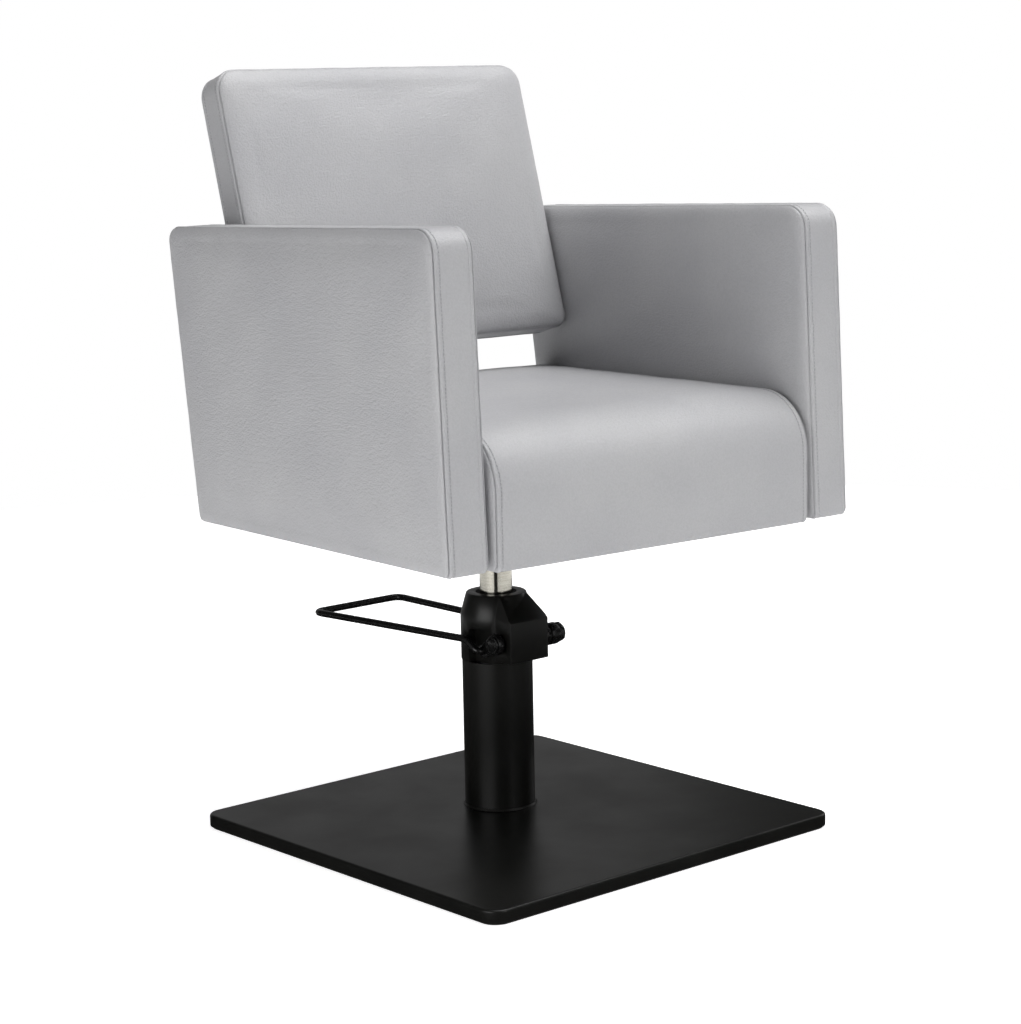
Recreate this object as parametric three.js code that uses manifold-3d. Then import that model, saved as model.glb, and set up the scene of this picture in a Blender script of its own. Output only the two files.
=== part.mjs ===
// Hydraulic salon styling chair: square base, pump column with a foot lever, and an upholstered
// seat, two arms and a leaning back. Millimetres, +Z up, the chair faces -Y. The origin is on the
// column's axis at floor level.
import * as THREE from 'three';
import { mergeVertices } from 'three/addons/utils/BufferGeometryUtils.js';
import Module from 'manifold-3d';

const wasm = await Module();
wasm.setup();

// ---- driving dimensions ----------------------------------------------------------------------

const GAP = 0.3; // left between pieces that touch

// square base: a pressed cover over a ballast plate, on a rubber mat
const BASE_SIDE = 560;
const BASE_TOP = 18;
const BASE_CORNER = 23;
const BASE_EDGE = 3; // rounding of the cover's upper edge
const BASE_WALL = 2.5;
const BASE_CENTRE_Y = -49.8; // the column stands behind the middle of the base
const BASE_CENTRE_X = -18.5;
const BASE_TURN = THREE.MathUtils.degToRad(3.6); // the base stands turned a little under the seat
const MAT_THICKNESS = 2;

// column and pump
const COLUMN_RADIUS = 44.45;
const COLUMN_WALL = 3;
const COLUMN_TOP = 207;
const FOOT_CAP_TOP = 42;
const LINER_RADIUS = 26;
const LINER_BORE = 23;
const RAM_RADIUS = 20.5;
const RAM_FOOT = 46;
const RAM_TOP = 380;
const RAM_TAPER_START = 338;
const RAM_TAPER_RADIUS = 18;
const HEAD_RADIUS = 45.4;
const HEAD_SHOULDER = 264.5; // the head narrows above this height
const HEAD_TOP = 291.5;
const HEAD_TOP_RADIUS = 38;
const HEAD_BORE = 21.2;
const BOX_HALF_WIDTH = 31; // the box on the front of the head holds the lever's shaft
const BOX_FRONT = -62;
const BOX_BOTTOM = 211;
const BOX_SHOULDER = 262;
const POCKET_X = 34.5; // flat pockets in the head's sides, where the cranks swing
const POCKET_TOP = 251;

// lever and what it drives
const SHAFT_Y = -43;
const SHAFT_Z = 235;
const SHAFT_RADIUS = 8;
const CRANK_INNER = 36;
const CRANK_OUTER = 44;
const WIRE_RADIUS = 4.5;
const WIRE_END_Y = -24; // where the wire's bent ends sit in the cranks
const WIRE_END_Z = 225;
const CAM_RADIUS = 11;
const CAM_OFFSET = 5;
const PLUNGER_Y = -34;
const PLUNGER_RADIUS = 4.5;
const PLUNGER_TOP = 223.6;

// seat: a wooden box inside a foam and leatherette cover
const SEAT_BOTTOM = 389;
const SEAT_TOP = 546;
const SEAT_FRONT = -315;
const SEAT_BACK = 206;
const SEAT_HALF_WIDTH = 241.5;
const WATERFALL = 70; // radius of the seat's front top edge
const SEAT_WRAP = 16.5; // cover and foam outside the wooden box
const BOARD_BOTTOM = 393;
const BOARD_THICKNESS = 18;
const RAIL_THICKNESS = 20;
const DECK_TOP = 484;

// arms
const ARM_INNER = 243.3;
const ARM_OUTER = 305.8;
const ARM_BOTTOM = 392;
const ARM_FRONT_BOTTOM = -314;
const ARM_FRONT_TOP = -296;
const ARM_BACK_TOP = 258;
const ARM_BACK_BOTTOM = 208;
const ARM_TOP_FRONT = 770;
const ARM_TOP_BACK = 753;
const ARM_BOARD_INNER = 263;
const ARM_BOARD_OUTER = 285;
const ARM_BOARD_INSET = 12;

// back cushion, in its own leaning frame: X across, Z up the slope, Y from front to rear
const BACK_TILT = THREE.MathUtils.degToRad(16.3);
const BACK_FOOT_Y = 132.5; // front bottom edge
const BACK_FOOT_Z = 601;
const BACK_HALF_WIDTH = 236;
const BACK_HEIGHT = 359;
const BACK_FRONT_THICKNESS = 53.3;
const BACK_REAR_THICKNESS = 57;
const BACK_FRAME_FRONT = 26;
const BACK_FRAME_REAR = 48;
const BACK_FRAME_INSET = 14;

// ---- materials -------------------------------------------------------------------------------

const material = (color, roughness, metalness) =>
  new THREE.MeshStandardMaterial({ color, roughness, metalness });

const LEATHERETTE = () => material(0xb4b5b9, 0.55, 0);
const BLACK_PAINT = () => material(0x161616, 0.45, 0.2);
const CHROME = () => material(0xd9d9d6, 0.12, 1);
const STEEL = () => material(0x8e9094, 0.4, 1);
const BRASS = () => material(0xb08d4a, 0.35, 1);
const PLYWOOD = () => material(0xc9a676, 0.75, 0);
const RUBBER = () => material(0x1c1c1c, 0.85, 0);
const BLACK_CLOTH = () => material(0x202022, 0.9, 0);

// ---- shape helpers ---------------------------------------------------------------------------

// A closed three.js geometry as a manifold solid, with its faces pointing out.
function solidOf(geometry) {
  const bare = geometry.clone();
  bare.deleteAttribute('normal');
  bare.deleteAttribute('uv');
  const merged = mergeVertices(bare, 1e-4);
  const vertProperties = new Float32Array(merged.attributes.position.array);
  const triVerts = new Uint32Array(merged.index.array);
  const build = () => new wasm.Manifold(new wasm.Mesh({ numProp: 3, vertProperties, triVerts }));
  const solid = build();
  if (solid.volume() > 0) return solid;
  for (let i = 0; i < triVerts.length; i += 3) {
    [triVerts[i], triVerts[i + 1]] = [triVerts[i + 1], triVerts[i]];
  }
  return build();
}

// A manifold solid as a three.js mesh.
function meshOf(name, solid, meshMaterial) {
  const { vertProperties, triVerts } = solid.getMesh();
  const indexed = new THREE.BufferGeometry();
  indexed.setAttribute('position', new THREE.BufferAttribute(vertProperties, 3));
  indexed.setIndex(new THREE.BufferAttribute(triVerts, 1));
  const geometry = indexed.toNonIndexed();
  geometry.computeVertexNormals();
  const mesh = new THREE.Mesh(geometry, meshMaterial);
  mesh.name = name;
  return mesh;
}

// A box between two corners.
function box([x0, y0, z0], [x1, y1, z1]) {
  const geometry = new THREE.BoxGeometry(x1 - x0, y1 - y0, z1 - z0);
  geometry.translate((x0 + x1) / 2, (y0 + y1) / 2, (z0 + z1) / 2);
  return solidOf(geometry);
}

// A solid of revolution about Z from [radius, z] points, closed on itself or on the axis.
function revolve(points, segments = 32) {
  const profile = points.map(([radius, z]) => new THREE.Vector2(radius, z));
  const geometry = new THREE.LatheGeometry(profile, segments);
  geometry.rotateX(Math.PI / 2);
  return solidOf(geometry);
}

// A ring about Z between two radii and two heights.
function ring(inner, outer, z0, z1, segments = 32) {
  return revolve([[inner, z0], [outer, z0], [outer, z1], [inner, z1], [inner, z0]], segments);
}

// An upright cylinder between two heights.
function upright(radius, z0, z1, x = 0, y = 0, segments = 24) {
  const geometry = new THREE.CylinderGeometry(radius, radius, z1 - z0, segments);
  geometry.rotateX(Math.PI / 2);
  geometry.translate(x, y, (z0 + z1) / 2);
  return solidOf(geometry);
}

// A cylinder along X between two x values.
function crosswise(radius, x0, x1, y, z, segments = 24) {
  const geometry = new THREE.CylinderGeometry(radius, radius, Math.abs(x1 - x0), segments);
  geometry.rotateZ(Math.PI / 2);
  geometry.translate((x0 + x1) / 2, y, z);
  return solidOf(geometry);
}

// An outline through [u, v, radius] corners, each rounded by an arc of its own radius.
function rounded(corners) {
  const shape = new THREE.Shape();
  corners.forEach(([u, v, radius], i) => {
    const corner = new THREE.Vector2(u, v);
    const [pu, pv] = corners[(i + corners.length - 1) % corners.length];
    const [nu, nv] = corners[(i + 1) % corners.length];
    const toPrevious = new THREE.Vector2(pu, pv).sub(corner).normalize();
    const toNext = new THREE.Vector2(nu, nv).sub(corner).normalize();
    const half = Math.acos(toPrevious.dot(toNext)) / 2;
    const start = corner.clone().addScaledVector(toPrevious, radius / Math.tan(half));
    const end = corner.clone().addScaledVector(toNext, radius / Math.tan(half));
    if (i === 0) shape.moveTo(start.x, start.y);
    else shape.lineTo(start.x, start.y);
    if (radius === 0) return;
    const middle = toPrevious.clone().add(toNext).normalize();
    const centre = corner.clone().addScaledVector(middle, radius / Math.sin(half));
    const from = Math.atan2(start.y - centre.y, start.x - centre.x);
    const to = Math.atan2(end.y - centre.y, end.x - centre.x);
    const clockwise = toPrevious.cross(toNext) > 0;
    shape.absarc(centre.x, centre.y, radius, from, to, clockwise);
  });
  shape.closePath();
  return shape;
}

// A rectangle outline with equal corner radii.
function roundedRectangle(u0, v0, u1, v1, radius) {
  return rounded([[u0, v0, radius], [u1, v0, radius], [u1, v1, radius], [u0, v1, radius]]);
}

const ALONG_X = new THREE.Matrix4().makeBasis(
  new THREE.Vector3(0, 1, 0), new THREE.Vector3(0, 0, 1), new THREE.Vector3(1, 0, 0));
const ALONG_Y = new THREE.Matrix4().makeBasis(
  new THREE.Vector3(1, 0, 0), new THREE.Vector3(0, 0, 1), new THREE.Vector3(0, -1, 0));
const ALONG_Z = new THREE.Matrix4();

// An outline swept from one depth to another along a basis, with its rims softened by edge.
// The outline's first and second axes are Y and Z along X, X and Z along Y, X and Y along Z.
function sweep(shape, basis, from, to, edge = 0, curveSegments = 4) {
  const geometry = new THREE.ExtrudeGeometry(shape, {
    depth: Math.abs(to - from) - 2 * edge,
    bevelEnabled: edge > 0,
    bevelThickness: edge,
    bevelSize: edge,
    bevelOffset: -edge,
    bevelSegments: 2,
    curveSegments,
  });
  const start = basis === ALONG_Y ? -Math.max(from, to) : Math.min(from, to);
  geometry.translate(0, 0, start + edge);
  geometry.applyMatrix4(basis);
  return solidOf(geometry);
}

// A round bar along a path, closed at both ends.
function bar(path, radius, sides, steps) {
  const section = new THREE.Shape();
  section.absarc(0, 0, radius, 0, Math.PI * 2);
  const geometry = new THREE.ExtrudeGeometry(section, {
    steps,
    curveSegments: sides / 2,
    bevelEnabled: false,
    extrudePath: path,
  });
  return solidOf(geometry);
}

// A path of straight runs through points, with each inner corner bent to its own radius.
function bentPath(points, radii) {
  const path = new THREE.CurvePath();
  let from = points[0];
  for (let i = 1; i < points.length - 1; i += 1) {
    const corner = points[i];
    const back = points[i - 1].clone().sub(corner).normalize();
    const on = points[i + 1].clone().sub(corner).normalize();
    const reach = radii[i - 1] / Math.tan(Math.acos(back.dot(on)) / 2);
    const start = corner.clone().addScaledVector(back, reach);
    const end = corner.clone().addScaledVector(on, reach);
    path.add(new THREE.LineCurve3(from, start));
    path.add(new THREE.QuadraticBezierCurve3(start, corner, end));
    from = end;
  }
  path.add(new THREE.LineCurve3(from, points[points.length - 1]));
  return path;
}

// ---- base ------------------------------------------------------------------------------------

const FOOT_BOLTS = [[1, 1], [-1, 1], [-1, -1], [1, -1]].map(([i, j]) => [i * 21, j * 21]);
const FOOT_BOLT_RADIUS = 5;
const FOOT_BOLT_HEAD = 8; // radius and height of its head
const FOOT_BOLT_SOCKET = 4;
const BALLAST_INSET = 6; // between the cover's wall and the ballast plate
const CLEARANCE = 0.5; // round a bolt's shank

function baseOutline(inset) {
  const half = BASE_SIDE / 2 - inset;
  return roundedRectangle(
    BASE_CENTRE_X - half, BASE_CENTRE_Y - half, BASE_CENTRE_X + half, BASE_CENTRE_Y + half,
    BASE_CORNER - inset);
}

function baseMat() {
  return sweep(baseOutline(BASE_WALL + 1), ALONG_Z, 0, MAT_THICKNESS);
}

function baseCover() {
  const low = MAT_THICKNESS + GAP;
  const block = sweep(baseOutline(0), ALONG_Z, low - BASE_EDGE, BASE_TOP, BASE_EDGE);
  const below = box([-BASE_SIDE, -BASE_SIDE, -BASE_SIDE], [BASE_SIDE, BASE_SIDE, low]);
  const hollow = sweep(baseOutline(BASE_WALL), ALONG_Z, -1, BASE_TOP - BASE_WALL);
  let cover = block.subtract(below).subtract(hollow);
  for (const [x, y] of FOOT_BOLTS) {
    cover = cover.subtract(upright(FOOT_BOLT_RADIUS + CLEARANCE, 0, BASE_TOP + 1, x, y, 16));
  }
  return cover;
}

function baseBallast() {
  const low = MAT_THICKNESS + GAP;
  const high = BASE_TOP - BASE_WALL - GAP;
  let plate = sweep(baseOutline(BASE_WALL + BALLAST_INSET), ALONG_Z, low, high);
  for (const [x, y] of FOOT_BOLTS) {
    const headSpace = low + FOOT_BOLT_HEAD + 0.6;
    plate = plate.subtract(upright(FOOT_BOLT_RADIUS + CLEARANCE, 0, BASE_TOP, x, y, 16));
    plate = plate.subtract(upright(FOOT_BOLT_HEAD + 0.7, 0, headSpace, x, y, 16));
  }
  return plate;
}

function footBolt([x, y]) {
  const low = MAT_THICKNESS + GAP;
  const head = upright(FOOT_BOLT_HEAD, low, low + FOOT_BOLT_HEAD, x, y, 16);
  const shank = upright(FOOT_BOLT_RADIUS, low + 4, FOOT_CAP_TOP - 10, x, y, 12);
  const socket = upright(FOOT_BOLT_SOCKET, low - 1, low + 3.5, x, y, 6);
  return head.add(shank).subtract(socket);
}

// ---- column and pump -------------------------------------------------------------------------

function columnTube() {
  return ring(COLUMN_RADIUS - COLUMN_WALL, COLUMN_RADIUS, BASE_TOP + GAP, COLUMN_TOP - GAP, 48);
}

// The weld bead round the column's foot.
function columnFootRing() {
  const inner = COLUMN_RADIUS + GAP;
  const low = BASE_TOP + GAP;
  const high = low + 2.4;
  return revolve(
    [[inner, low], [inner + 2.2, low], [inner + 0.8, high], [inner, high], [inner, low]], 48);
}

function footCap() {
  const radius = COLUMN_RADIUS - COLUMN_WALL - GAP;
  const body = upright(radius, BASE_TOP + GAP, FOOT_CAP_TOP, 0, 0, 32);
  return FOOT_BOLTS.reduce(
    (cap, [x, y]) => cap.subtract(upright(FOOT_BOLT_RADIUS + GAP, 0, FOOT_CAP_TOP - 8, x, y, 12)),
    body);
}

function cylinderLiner() {
  return ring(LINER_BORE, LINER_RADIUS, FOOT_CAP_TOP + GAP, COLUMN_TOP - GAP);
}

const SEAL_LOW = RAM_FOOT + 6; // the seal's groove in the ram
const SEAL_HIGH = RAM_FOOT + 15;
const SEAL_GROOVE = 19;

function ram() {
  return revolve([
    [0, RAM_FOOT], [RAM_RADIUS - 1, RAM_FOOT], [RAM_RADIUS, RAM_FOOT + 1],
    [RAM_RADIUS, SEAL_LOW], [SEAL_GROOVE, SEAL_LOW],
    [SEAL_GROOVE, SEAL_HIGH], [RAM_RADIUS, SEAL_HIGH],
    [RAM_RADIUS, RAM_TAPER_START], [RAM_TAPER_RADIUS, RAM_TOP - 1],
    [RAM_TAPER_RADIUS - 1, RAM_TOP], [0, RAM_TOP],
  ], 40);
}

function pistonSeal() {
  return ring(SEAL_GROOVE + GAP, LINER_BORE - GAP, SEAL_LOW + GAP, SEAL_HIGH - GAP);
}

const WIPER_RADIUS = 26;
const WIPER_DEPTH = 7;

function ramWiper() {
  return ring(HEAD_BORE - 0.3, WIPER_RADIUS - GAP, HEAD_TOP - WIPER_DEPTH + GAP, HEAD_TOP - 0.6);
}

const CHAMBER_X = 9.5; // the cam turns in this space inside the head
const CHAMBER_FRONT = BOX_FRONT + 4.5;
const CHAMBER_REAR = -25.5;
const CHAMBER_FLOOR = 219;
const CHAMBER_TOP = 251.5;
const SPRING_BORE = 8.6;

// The round body of the pump head, with its narrowed top.
function headBody() {
  return revolve([
    [0, COLUMN_TOP], [HEAD_RADIUS, COLUMN_TOP], [HEAD_RADIUS, HEAD_SHOULDER],
    [HEAD_TOP_RADIUS, HEAD_TOP - 1], [HEAD_TOP_RADIUS - 1, HEAD_TOP], [0, HEAD_TOP],
  ], 56);
}

// The box on the head's front, its top sloping down and outwards and narrowing upwards.
function headBox() {
  const side = sweep(rounded([
    [BOX_FRONT, BOX_BOTTOM, 1.5], [0, BOX_BOTTOM, 0], [0, HEAD_TOP - 1, 0],
    [-HEAD_TOP_RADIUS + 5, HEAD_TOP - 1, 2], [BOX_FRONT, BOX_SHOULDER, 2],
  ]), ALONG_X, -BOX_HALF_WIDTH, BOX_HALF_WIDTH, 1, 2);
  const narrow = BOX_HALF_WIDTH - 9;
  const front = sweep(rounded([
    [-BOX_HALF_WIDTH - 1, BOX_BOTTOM - 1, 0], [BOX_HALF_WIDTH + 1, BOX_BOTTOM - 1, 0],
    [BOX_HALF_WIDTH + 1, BOX_SHOULDER, 0], [narrow, HEAD_TOP, 0],
    [-narrow, HEAD_TOP, 0], [-BOX_HALF_WIDTH - 1, BOX_SHOULDER, 0],
  ]), ALONG_Y, BOX_FRONT - 1, 1);
  return side.intersect(front);
}

function pumpHead() {
  let head = headBody().add(headBox());
  head = head.subtract(upright(HEAD_BORE, COLUMN_TOP - 1, HEAD_TOP + 1, 0, 0, 40));
  head = head.subtract(upright(WIPER_RADIUS, HEAD_TOP - WIPER_DEPTH, HEAD_TOP + 1, 0, 0, 32));
  for (const side of [-1, 1]) {
    const pocket = sweep(
      roundedRectangle(BOX_FRONT - 20, COLUMN_TOP - 20, 2, POCKET_TOP, 8),
      ALONG_X, side * POCKET_X, side * (HEAD_RADIUS + 10), 0, 4);
    head = head.subtract(pocket);
  }
  // the shaft's bore, the cam's chamber and the spring's bore below it
  head = head.subtract(crosswise(SHAFT_RADIUS + GAP, -60, 60, SHAFT_Y, SHAFT_Z));
  head = head.subtract(box(
    [-CHAMBER_X, CHAMBER_FRONT, CHAMBER_FLOOR], [CHAMBER_X, CHAMBER_REAR, CHAMBER_TOP]));
  return head.subtract(
    upright(SPRING_BORE, COLUMN_TOP - 1, CHAMBER_FLOOR + 1, 0, PLUNGER_Y, 24));
}

const BARREL_RADIUS = 6.7;
const BARREL_LOW = 140;

function plungerBarrel() {
  return ring(PLUNGER_RADIUS + GAP, BARREL_RADIUS, BARREL_LOW, COLUMN_TOP - GAP, 24)
    .translate([0, PLUNGER_Y, 0]);
}

const PLUNGER_LOW = 148;
const PLUNGER_FLANGE = 7.6;
const PLUNGER_FLANGE_LOW = 220.6;

function pumpPlunger() {
  return revolve([
    [0, PLUNGER_LOW], [PLUNGER_RADIUS, PLUNGER_LOW], [PLUNGER_RADIUS, PLUNGER_FLANGE_LOW],
    [PLUNGER_FLANGE, PLUNGER_FLANGE_LOW], [PLUNGER_FLANGE, PLUNGER_TOP - 1.5],
    [PLUNGER_RADIUS, PLUNGER_TOP], [0, PLUNGER_TOP],
  ], 24).translate([0, PLUNGER_Y, 0]);
}

class Helix extends THREE.Curve {
  constructor(radius, low, high, turns) {
    super();
    Object.assign(this, { radius, low, high, turns });
  }

  getPoint(t, target = new THREE.Vector3()) {
    const angle = t * this.turns * Math.PI * 2;
    return target.set(
      this.radius * Math.cos(angle), this.radius * Math.sin(angle),
      this.low + t * (this.high - this.low));
  }
}

const SPRING_WIRE = 0.7;
const SPRING_RADIUS = 6.1;
const SPRING_TURNS = 4;

function plungerSpring() {
  const low = COLUMN_TOP + SPRING_WIRE + GAP;
  const high = PLUNGER_FLANGE_LOW - SPRING_WIRE - GAP;
  const coil = new Helix(SPRING_RADIUS, low, high, SPRING_TURNS);
  return bar(coil, SPRING_WIRE, 6, 48).translate([0, PLUNGER_Y, 0]);
}

// ---- lever -----------------------------------------------------------------------------------

const COLLAR_OUTER = 58;
const NUT_OUTER = 68.5;
const NUT_RADIUS = 13.4;
const COLLAR_RADIUS = 14;
const CAM_HALF_WIDTH = 8;
const CRANK_EYE = 13; // radius of the crank round the shaft
const CRANK_END = 8.5; // and round the wire

function leverShaft() {
  return crosswise(SHAFT_RADIUS, -CRANK_OUTER - 3, COLLAR_OUTER - GAP, SHAFT_Y, SHAFT_Z);
}

function leverCam() {
  const half = CAM_HALF_WIDTH;
  const cam = crosswise(CAM_RADIUS, -half, half, SHAFT_Y + CAM_OFFSET, SHAFT_Z);
  const hub = crosswise(SHAFT_RADIUS + 3, -half, half, SHAFT_Y, SHAFT_Z);
  const bore = crosswise(SHAFT_RADIUS + GAP, -half - 1, half + 1, SHAFT_Y, SHAFT_Z);
  return cam.add(hub).subtract(bore);
}

// A flat crank from the shaft to the bent end of the wire.
function leverCrank(side) {
  const inner = side * CRANK_INNER;
  const outer = side * CRANK_OUTER;
  const eye = crosswise(CRANK_EYE, inner, outer, SHAFT_Y, SHAFT_Z);
  const end = crosswise(CRANK_END, inner, outer, WIRE_END_Y, WIRE_END_Z, 20);
  const run = new THREE.Vector2(WIRE_END_Y - SHAFT_Y, WIRE_END_Z - SHAFT_Z);
  const across = new THREE.Vector2(-run.y, run.x).normalize();
  const web = new THREE.Shape([
    new THREE.Vector2(SHAFT_Y, SHAFT_Z).addScaledVector(across, CRANK_EYE - 1),
    new THREE.Vector2(WIRE_END_Y, WIRE_END_Z).addScaledVector(across, CRANK_END - 0.5),
    new THREE.Vector2(WIRE_END_Y, WIRE_END_Z).addScaledVector(across, 0.5 - CRANK_END),
    new THREE.Vector2(SHAFT_Y, SHAFT_Z).addScaledVector(across, 1 - CRANK_EYE),
  ]);
  return eye.add(end).add(sweep(web, ALONG_X, inner, outer))
    .subtract(crosswise(SHAFT_RADIUS + GAP, inner * 0.9, outer * 1.1, SHAFT_Y, SHAFT_Z))
    .subtract(crosswise(WIRE_RADIUS + GAP, inner * 0.9, outer * 1.1, WIRE_END_Y, WIRE_END_Z));
}

function shaftCollar() {
  return crosswise(COLLAR_RADIUS, CRANK_OUTER + GAP, COLLAR_OUTER, SHAFT_Y, SHAFT_Z, 32)
    .subtract(crosswise(SHAFT_RADIUS + GAP, CRANK_OUTER - 1, COLLAR_OUTER + 1, SHAFT_Y, SHAFT_Z));
}

function shaftNut() {
  const hexagon = crosswise(NUT_RADIUS, COLLAR_OUTER + GAP, NUT_OUTER, SHAFT_Y, SHAFT_Z, 6);
  const dome = revolve([[0, 0], [NUT_RADIUS + 1, 0], [NUT_RADIUS + 1, 6.4],
    [NUT_RADIUS - 3.5, NUT_OUTER - COLLAR_OUTER - GAP], [0, NUT_OUTER - COLLAR_OUTER - GAP]], 32)
    .rotate([0, 90, 0])
    .translate([COLLAR_OUTER + GAP, SHAFT_Y, SHAFT_Z]);
  return hexagon.intersect(dome);
}

function leverRetainer() {
  return crosswise(11, -CRANK_OUTER - 2.6, -CRANK_OUTER - GAP, SHAFT_Y, SHAFT_Z)
    .subtract(crosswise(SHAFT_RADIUS + GAP, -60, -40, SHAFT_Y, SHAFT_Z));
}

function leverWire() {
  const near = 53; // the wires pass the column at this distance
  const far = 71; // and spread to this one at the foot bar
  const footBar = [285, 234]; // y and z of the foot bar
  const bends = [7, 20, 14, 14, 20, 7];
  const points = [
    [-CRANK_INNER - 1, WIRE_END_Y, WIRE_END_Z], [-near, WIRE_END_Y, WIRE_END_Z],
    [-near - 0.4, -2, 238.5], [-far, ...footBar],
    [far, ...footBar], [near + 0.4, -2, 238.5],
    [near, WIRE_END_Y, WIRE_END_Z], [CRANK_INNER + 1, WIRE_END_Y, WIRE_END_Z],
  ].map(([x, y, z]) => new THREE.Vector3(x, y, z));
  return bar(bentPath(points, bends), WIRE_RADIUS, 10, 84);
}

// ---- seat ------------------------------------------------------------------------------------

const BOX_X = SEAT_HALF_WIDTH - SEAT_WRAP - GAP; // the wooden box inside the cover
const BOX_Y0 = SEAT_FRONT + SEAT_WRAP + GAP;
const BOX_Y1 = SEAT_BACK - SEAT_WRAP + 4;
const RAIL_LOW = BOARD_BOTTOM + BOARD_THICKNESS + GAP;
const RAIL_HIGH = DECK_TOP - BOARD_THICKNESS - GAP;
const PLATE_HALF = 100;
const PLATE_LOW = 386.7;
const PLATE_BOLTS = [[1, 1], [-1, 1], [-1, -1], [1, -1]].map(([i, j]) => [i * 80, j * 80]);
const SIDE_BOLT_RADIUS = 4;
const BOLT_HEAD = 6.8; // radius of the heads of the M8 bolts
const BOLT_CLEARANCE = 0.4;
const SEAT_BOLTS = [[-220, 438], [120, 438]]; // y and z of the bolts into each arm
const BACK_BOLTS = [[37, 50], [37, 120]]; // y and z of the bolts into each arm, in the back's frame

const SOCKET_FOOT = 27; // the socket's radii, from its lower end up
const SOCKET_WAIST = 30;
const SOCKET_WAIST_Z = 350;
const SOCKET_TOP = 34;

// A steel plate with a socket that sits on the ram's taper.
function seatPlate() {
  const plate = sweep(
    roundedRectangle(-PLATE_HALF, -PLATE_HALF, PLATE_HALF, PLATE_HALF, 12),
    ALONG_Z, PLATE_LOW, BOARD_BOTTOM - GAP, 0, 4);
  const socket = revolve([[0, RAM_TAPER_START], [SOCKET_FOOT, RAM_TAPER_START],
    [SOCKET_WAIST, SOCKET_WAIST_Z], [SOCKET_TOP, PLATE_LOW + 1], [0, PLATE_LOW + 1]]);
  const wide = RAM_RADIUS + BOLT_CLEARANCE;
  const narrow = RAM_TAPER_RADIUS + BOLT_CLEARANCE;
  const bore = revolve([[0, RAM_TAPER_START - 1], [wide, RAM_TAPER_START - 1],
    [narrow, RAM_TOP], [narrow, RAM_TOP + 2], [0, RAM_TOP + 2]]);
  return PLATE_BOLTS.reduce(
    (solid, [x, y]) => solid.subtract(
      upright(SIDE_BOLT_RADIUS + BOLT_CLEARANCE, PLATE_LOW - 7, BOARD_BOTTOM + 7, x, y, 16)),
    plate.add(socket).subtract(bore));
}

function seatPlateBolt([x, y]) {
  const head = upright(BOLT_HEAD, PLATE_LOW - 5.6, PLATE_LOW - GAP, x, y, 6);
  return head.add(upright(SIDE_BOLT_RADIUS, PLATE_LOW - 3, 409, x, y, 12));
}

function seatBoard() {
  const board = box([-BOX_X, BOX_Y0, BOARD_BOTTOM], [BOX_X, BOX_Y1, BOARD_BOTTOM + BOARD_THICKNESS]);
  return PLATE_BOLTS.reduce(
    (solid, [x, y]) => solid.subtract(upright(SIDE_BOLT_RADIUS + GAP, 380, 420, x, y, 12)), board);
}

function seatEndRail(front) {
  const y0 = front ? BOX_Y0 : BOX_Y1 - RAIL_THICKNESS;
  return box([-BOX_X, y0, RAIL_LOW], [BOX_X, y0 + RAIL_THICKNESS, RAIL_HIGH]);
}

function seatSideRail(side) {
  const y0 = BOX_Y0 + RAIL_THICKNESS + GAP;
  const y1 = BOX_Y1 - RAIL_THICKNESS - GAP;
  const inner = side * (BOX_X - RAIL_THICKNESS);
  const rail = box(
    [Math.min(inner, side * BOX_X), y0, RAIL_LOW], [Math.max(inner, side * BOX_X), y1, RAIL_HIGH]);
  return SEAT_BOLTS.reduce(
    (solid, [y, z]) => solid.subtract(
      crosswise(SIDE_BOLT_RADIUS + BOLT_CLEARANCE, side * 190, side * 240, y, z, 12)),
    rail);
}

function seatDeck() {
  return box([-BOX_X, BOX_Y0, DECK_TOP - BOARD_THICKNESS], [BOX_X, BOX_Y1, DECK_TOP]);
}

function seatCushion() {
  const outer = sweep(rounded([
    [SEAT_FRONT, SEAT_BOTTOM, 6], [SEAT_BACK, SEAT_BOTTOM, 6],
    [SEAT_BACK, SEAT_TOP - 3, 14], [SEAT_FRONT, SEAT_TOP + 1, WATERFALL],
  ]), ALONG_X, -SEAT_HALF_WIDTH, SEAT_HALF_WIDTH, 4, 6);
  const hollow = box(
    [-BOX_X - GAP, BOX_Y0 - GAP, SEAT_BOTTOM - 1], [BOX_X + GAP, BOX_Y1 + GAP, DECK_TOP + GAP]);
  let cushion = outer.subtract(hollow);
  for (const [y, z] of SEAT_BOLTS) {
    cushion = cushion.subtract(crosswise(SIDE_BOLT_RADIUS + BOLT_CLEARANCE, -260, 260, y, z, 12));
  }
  return cushion;
}

function seatUnderlining() {
  const sheet = box([-BOX_X, BOX_Y0, BOARD_BOTTOM - 2.3], [BOX_X, BOX_Y1, BOARD_BOTTOM - GAP]);
  const opening = PLATE_HALF + 4;
  return sheet.subtract(box([-opening, -opening, 380], [opening, opening, 400]));
}

// ---- arms ------------------------------------------------------------------------------------

// The arm seen from the side, drawn in by an inset.
function armOutline(inset, topFront, topBack, low) {
  return rounded([
    [ARM_FRONT_BOTTOM + inset, ARM_BOTTOM, low], [ARM_BACK_BOTTOM - inset, ARM_BOTTOM, low],
    [ARM_BACK_TOP - inset, ARM_TOP_BACK - inset, topBack],
    [ARM_FRONT_TOP + inset, ARM_TOP_FRONT - inset, topFront],
  ]);
}

// Where the back's bolts come through the arms, in the chair's frame.
function backBoltPlace([y, z]) {
  const place = new THREE.Vector3(0, y, z).applyAxisAngle(new THREE.Vector3(1, 0, 0), -BACK_TILT);
  return [place.y + BACK_FOOT_Y, place.z + BACK_FOOT_Z];
}

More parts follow.
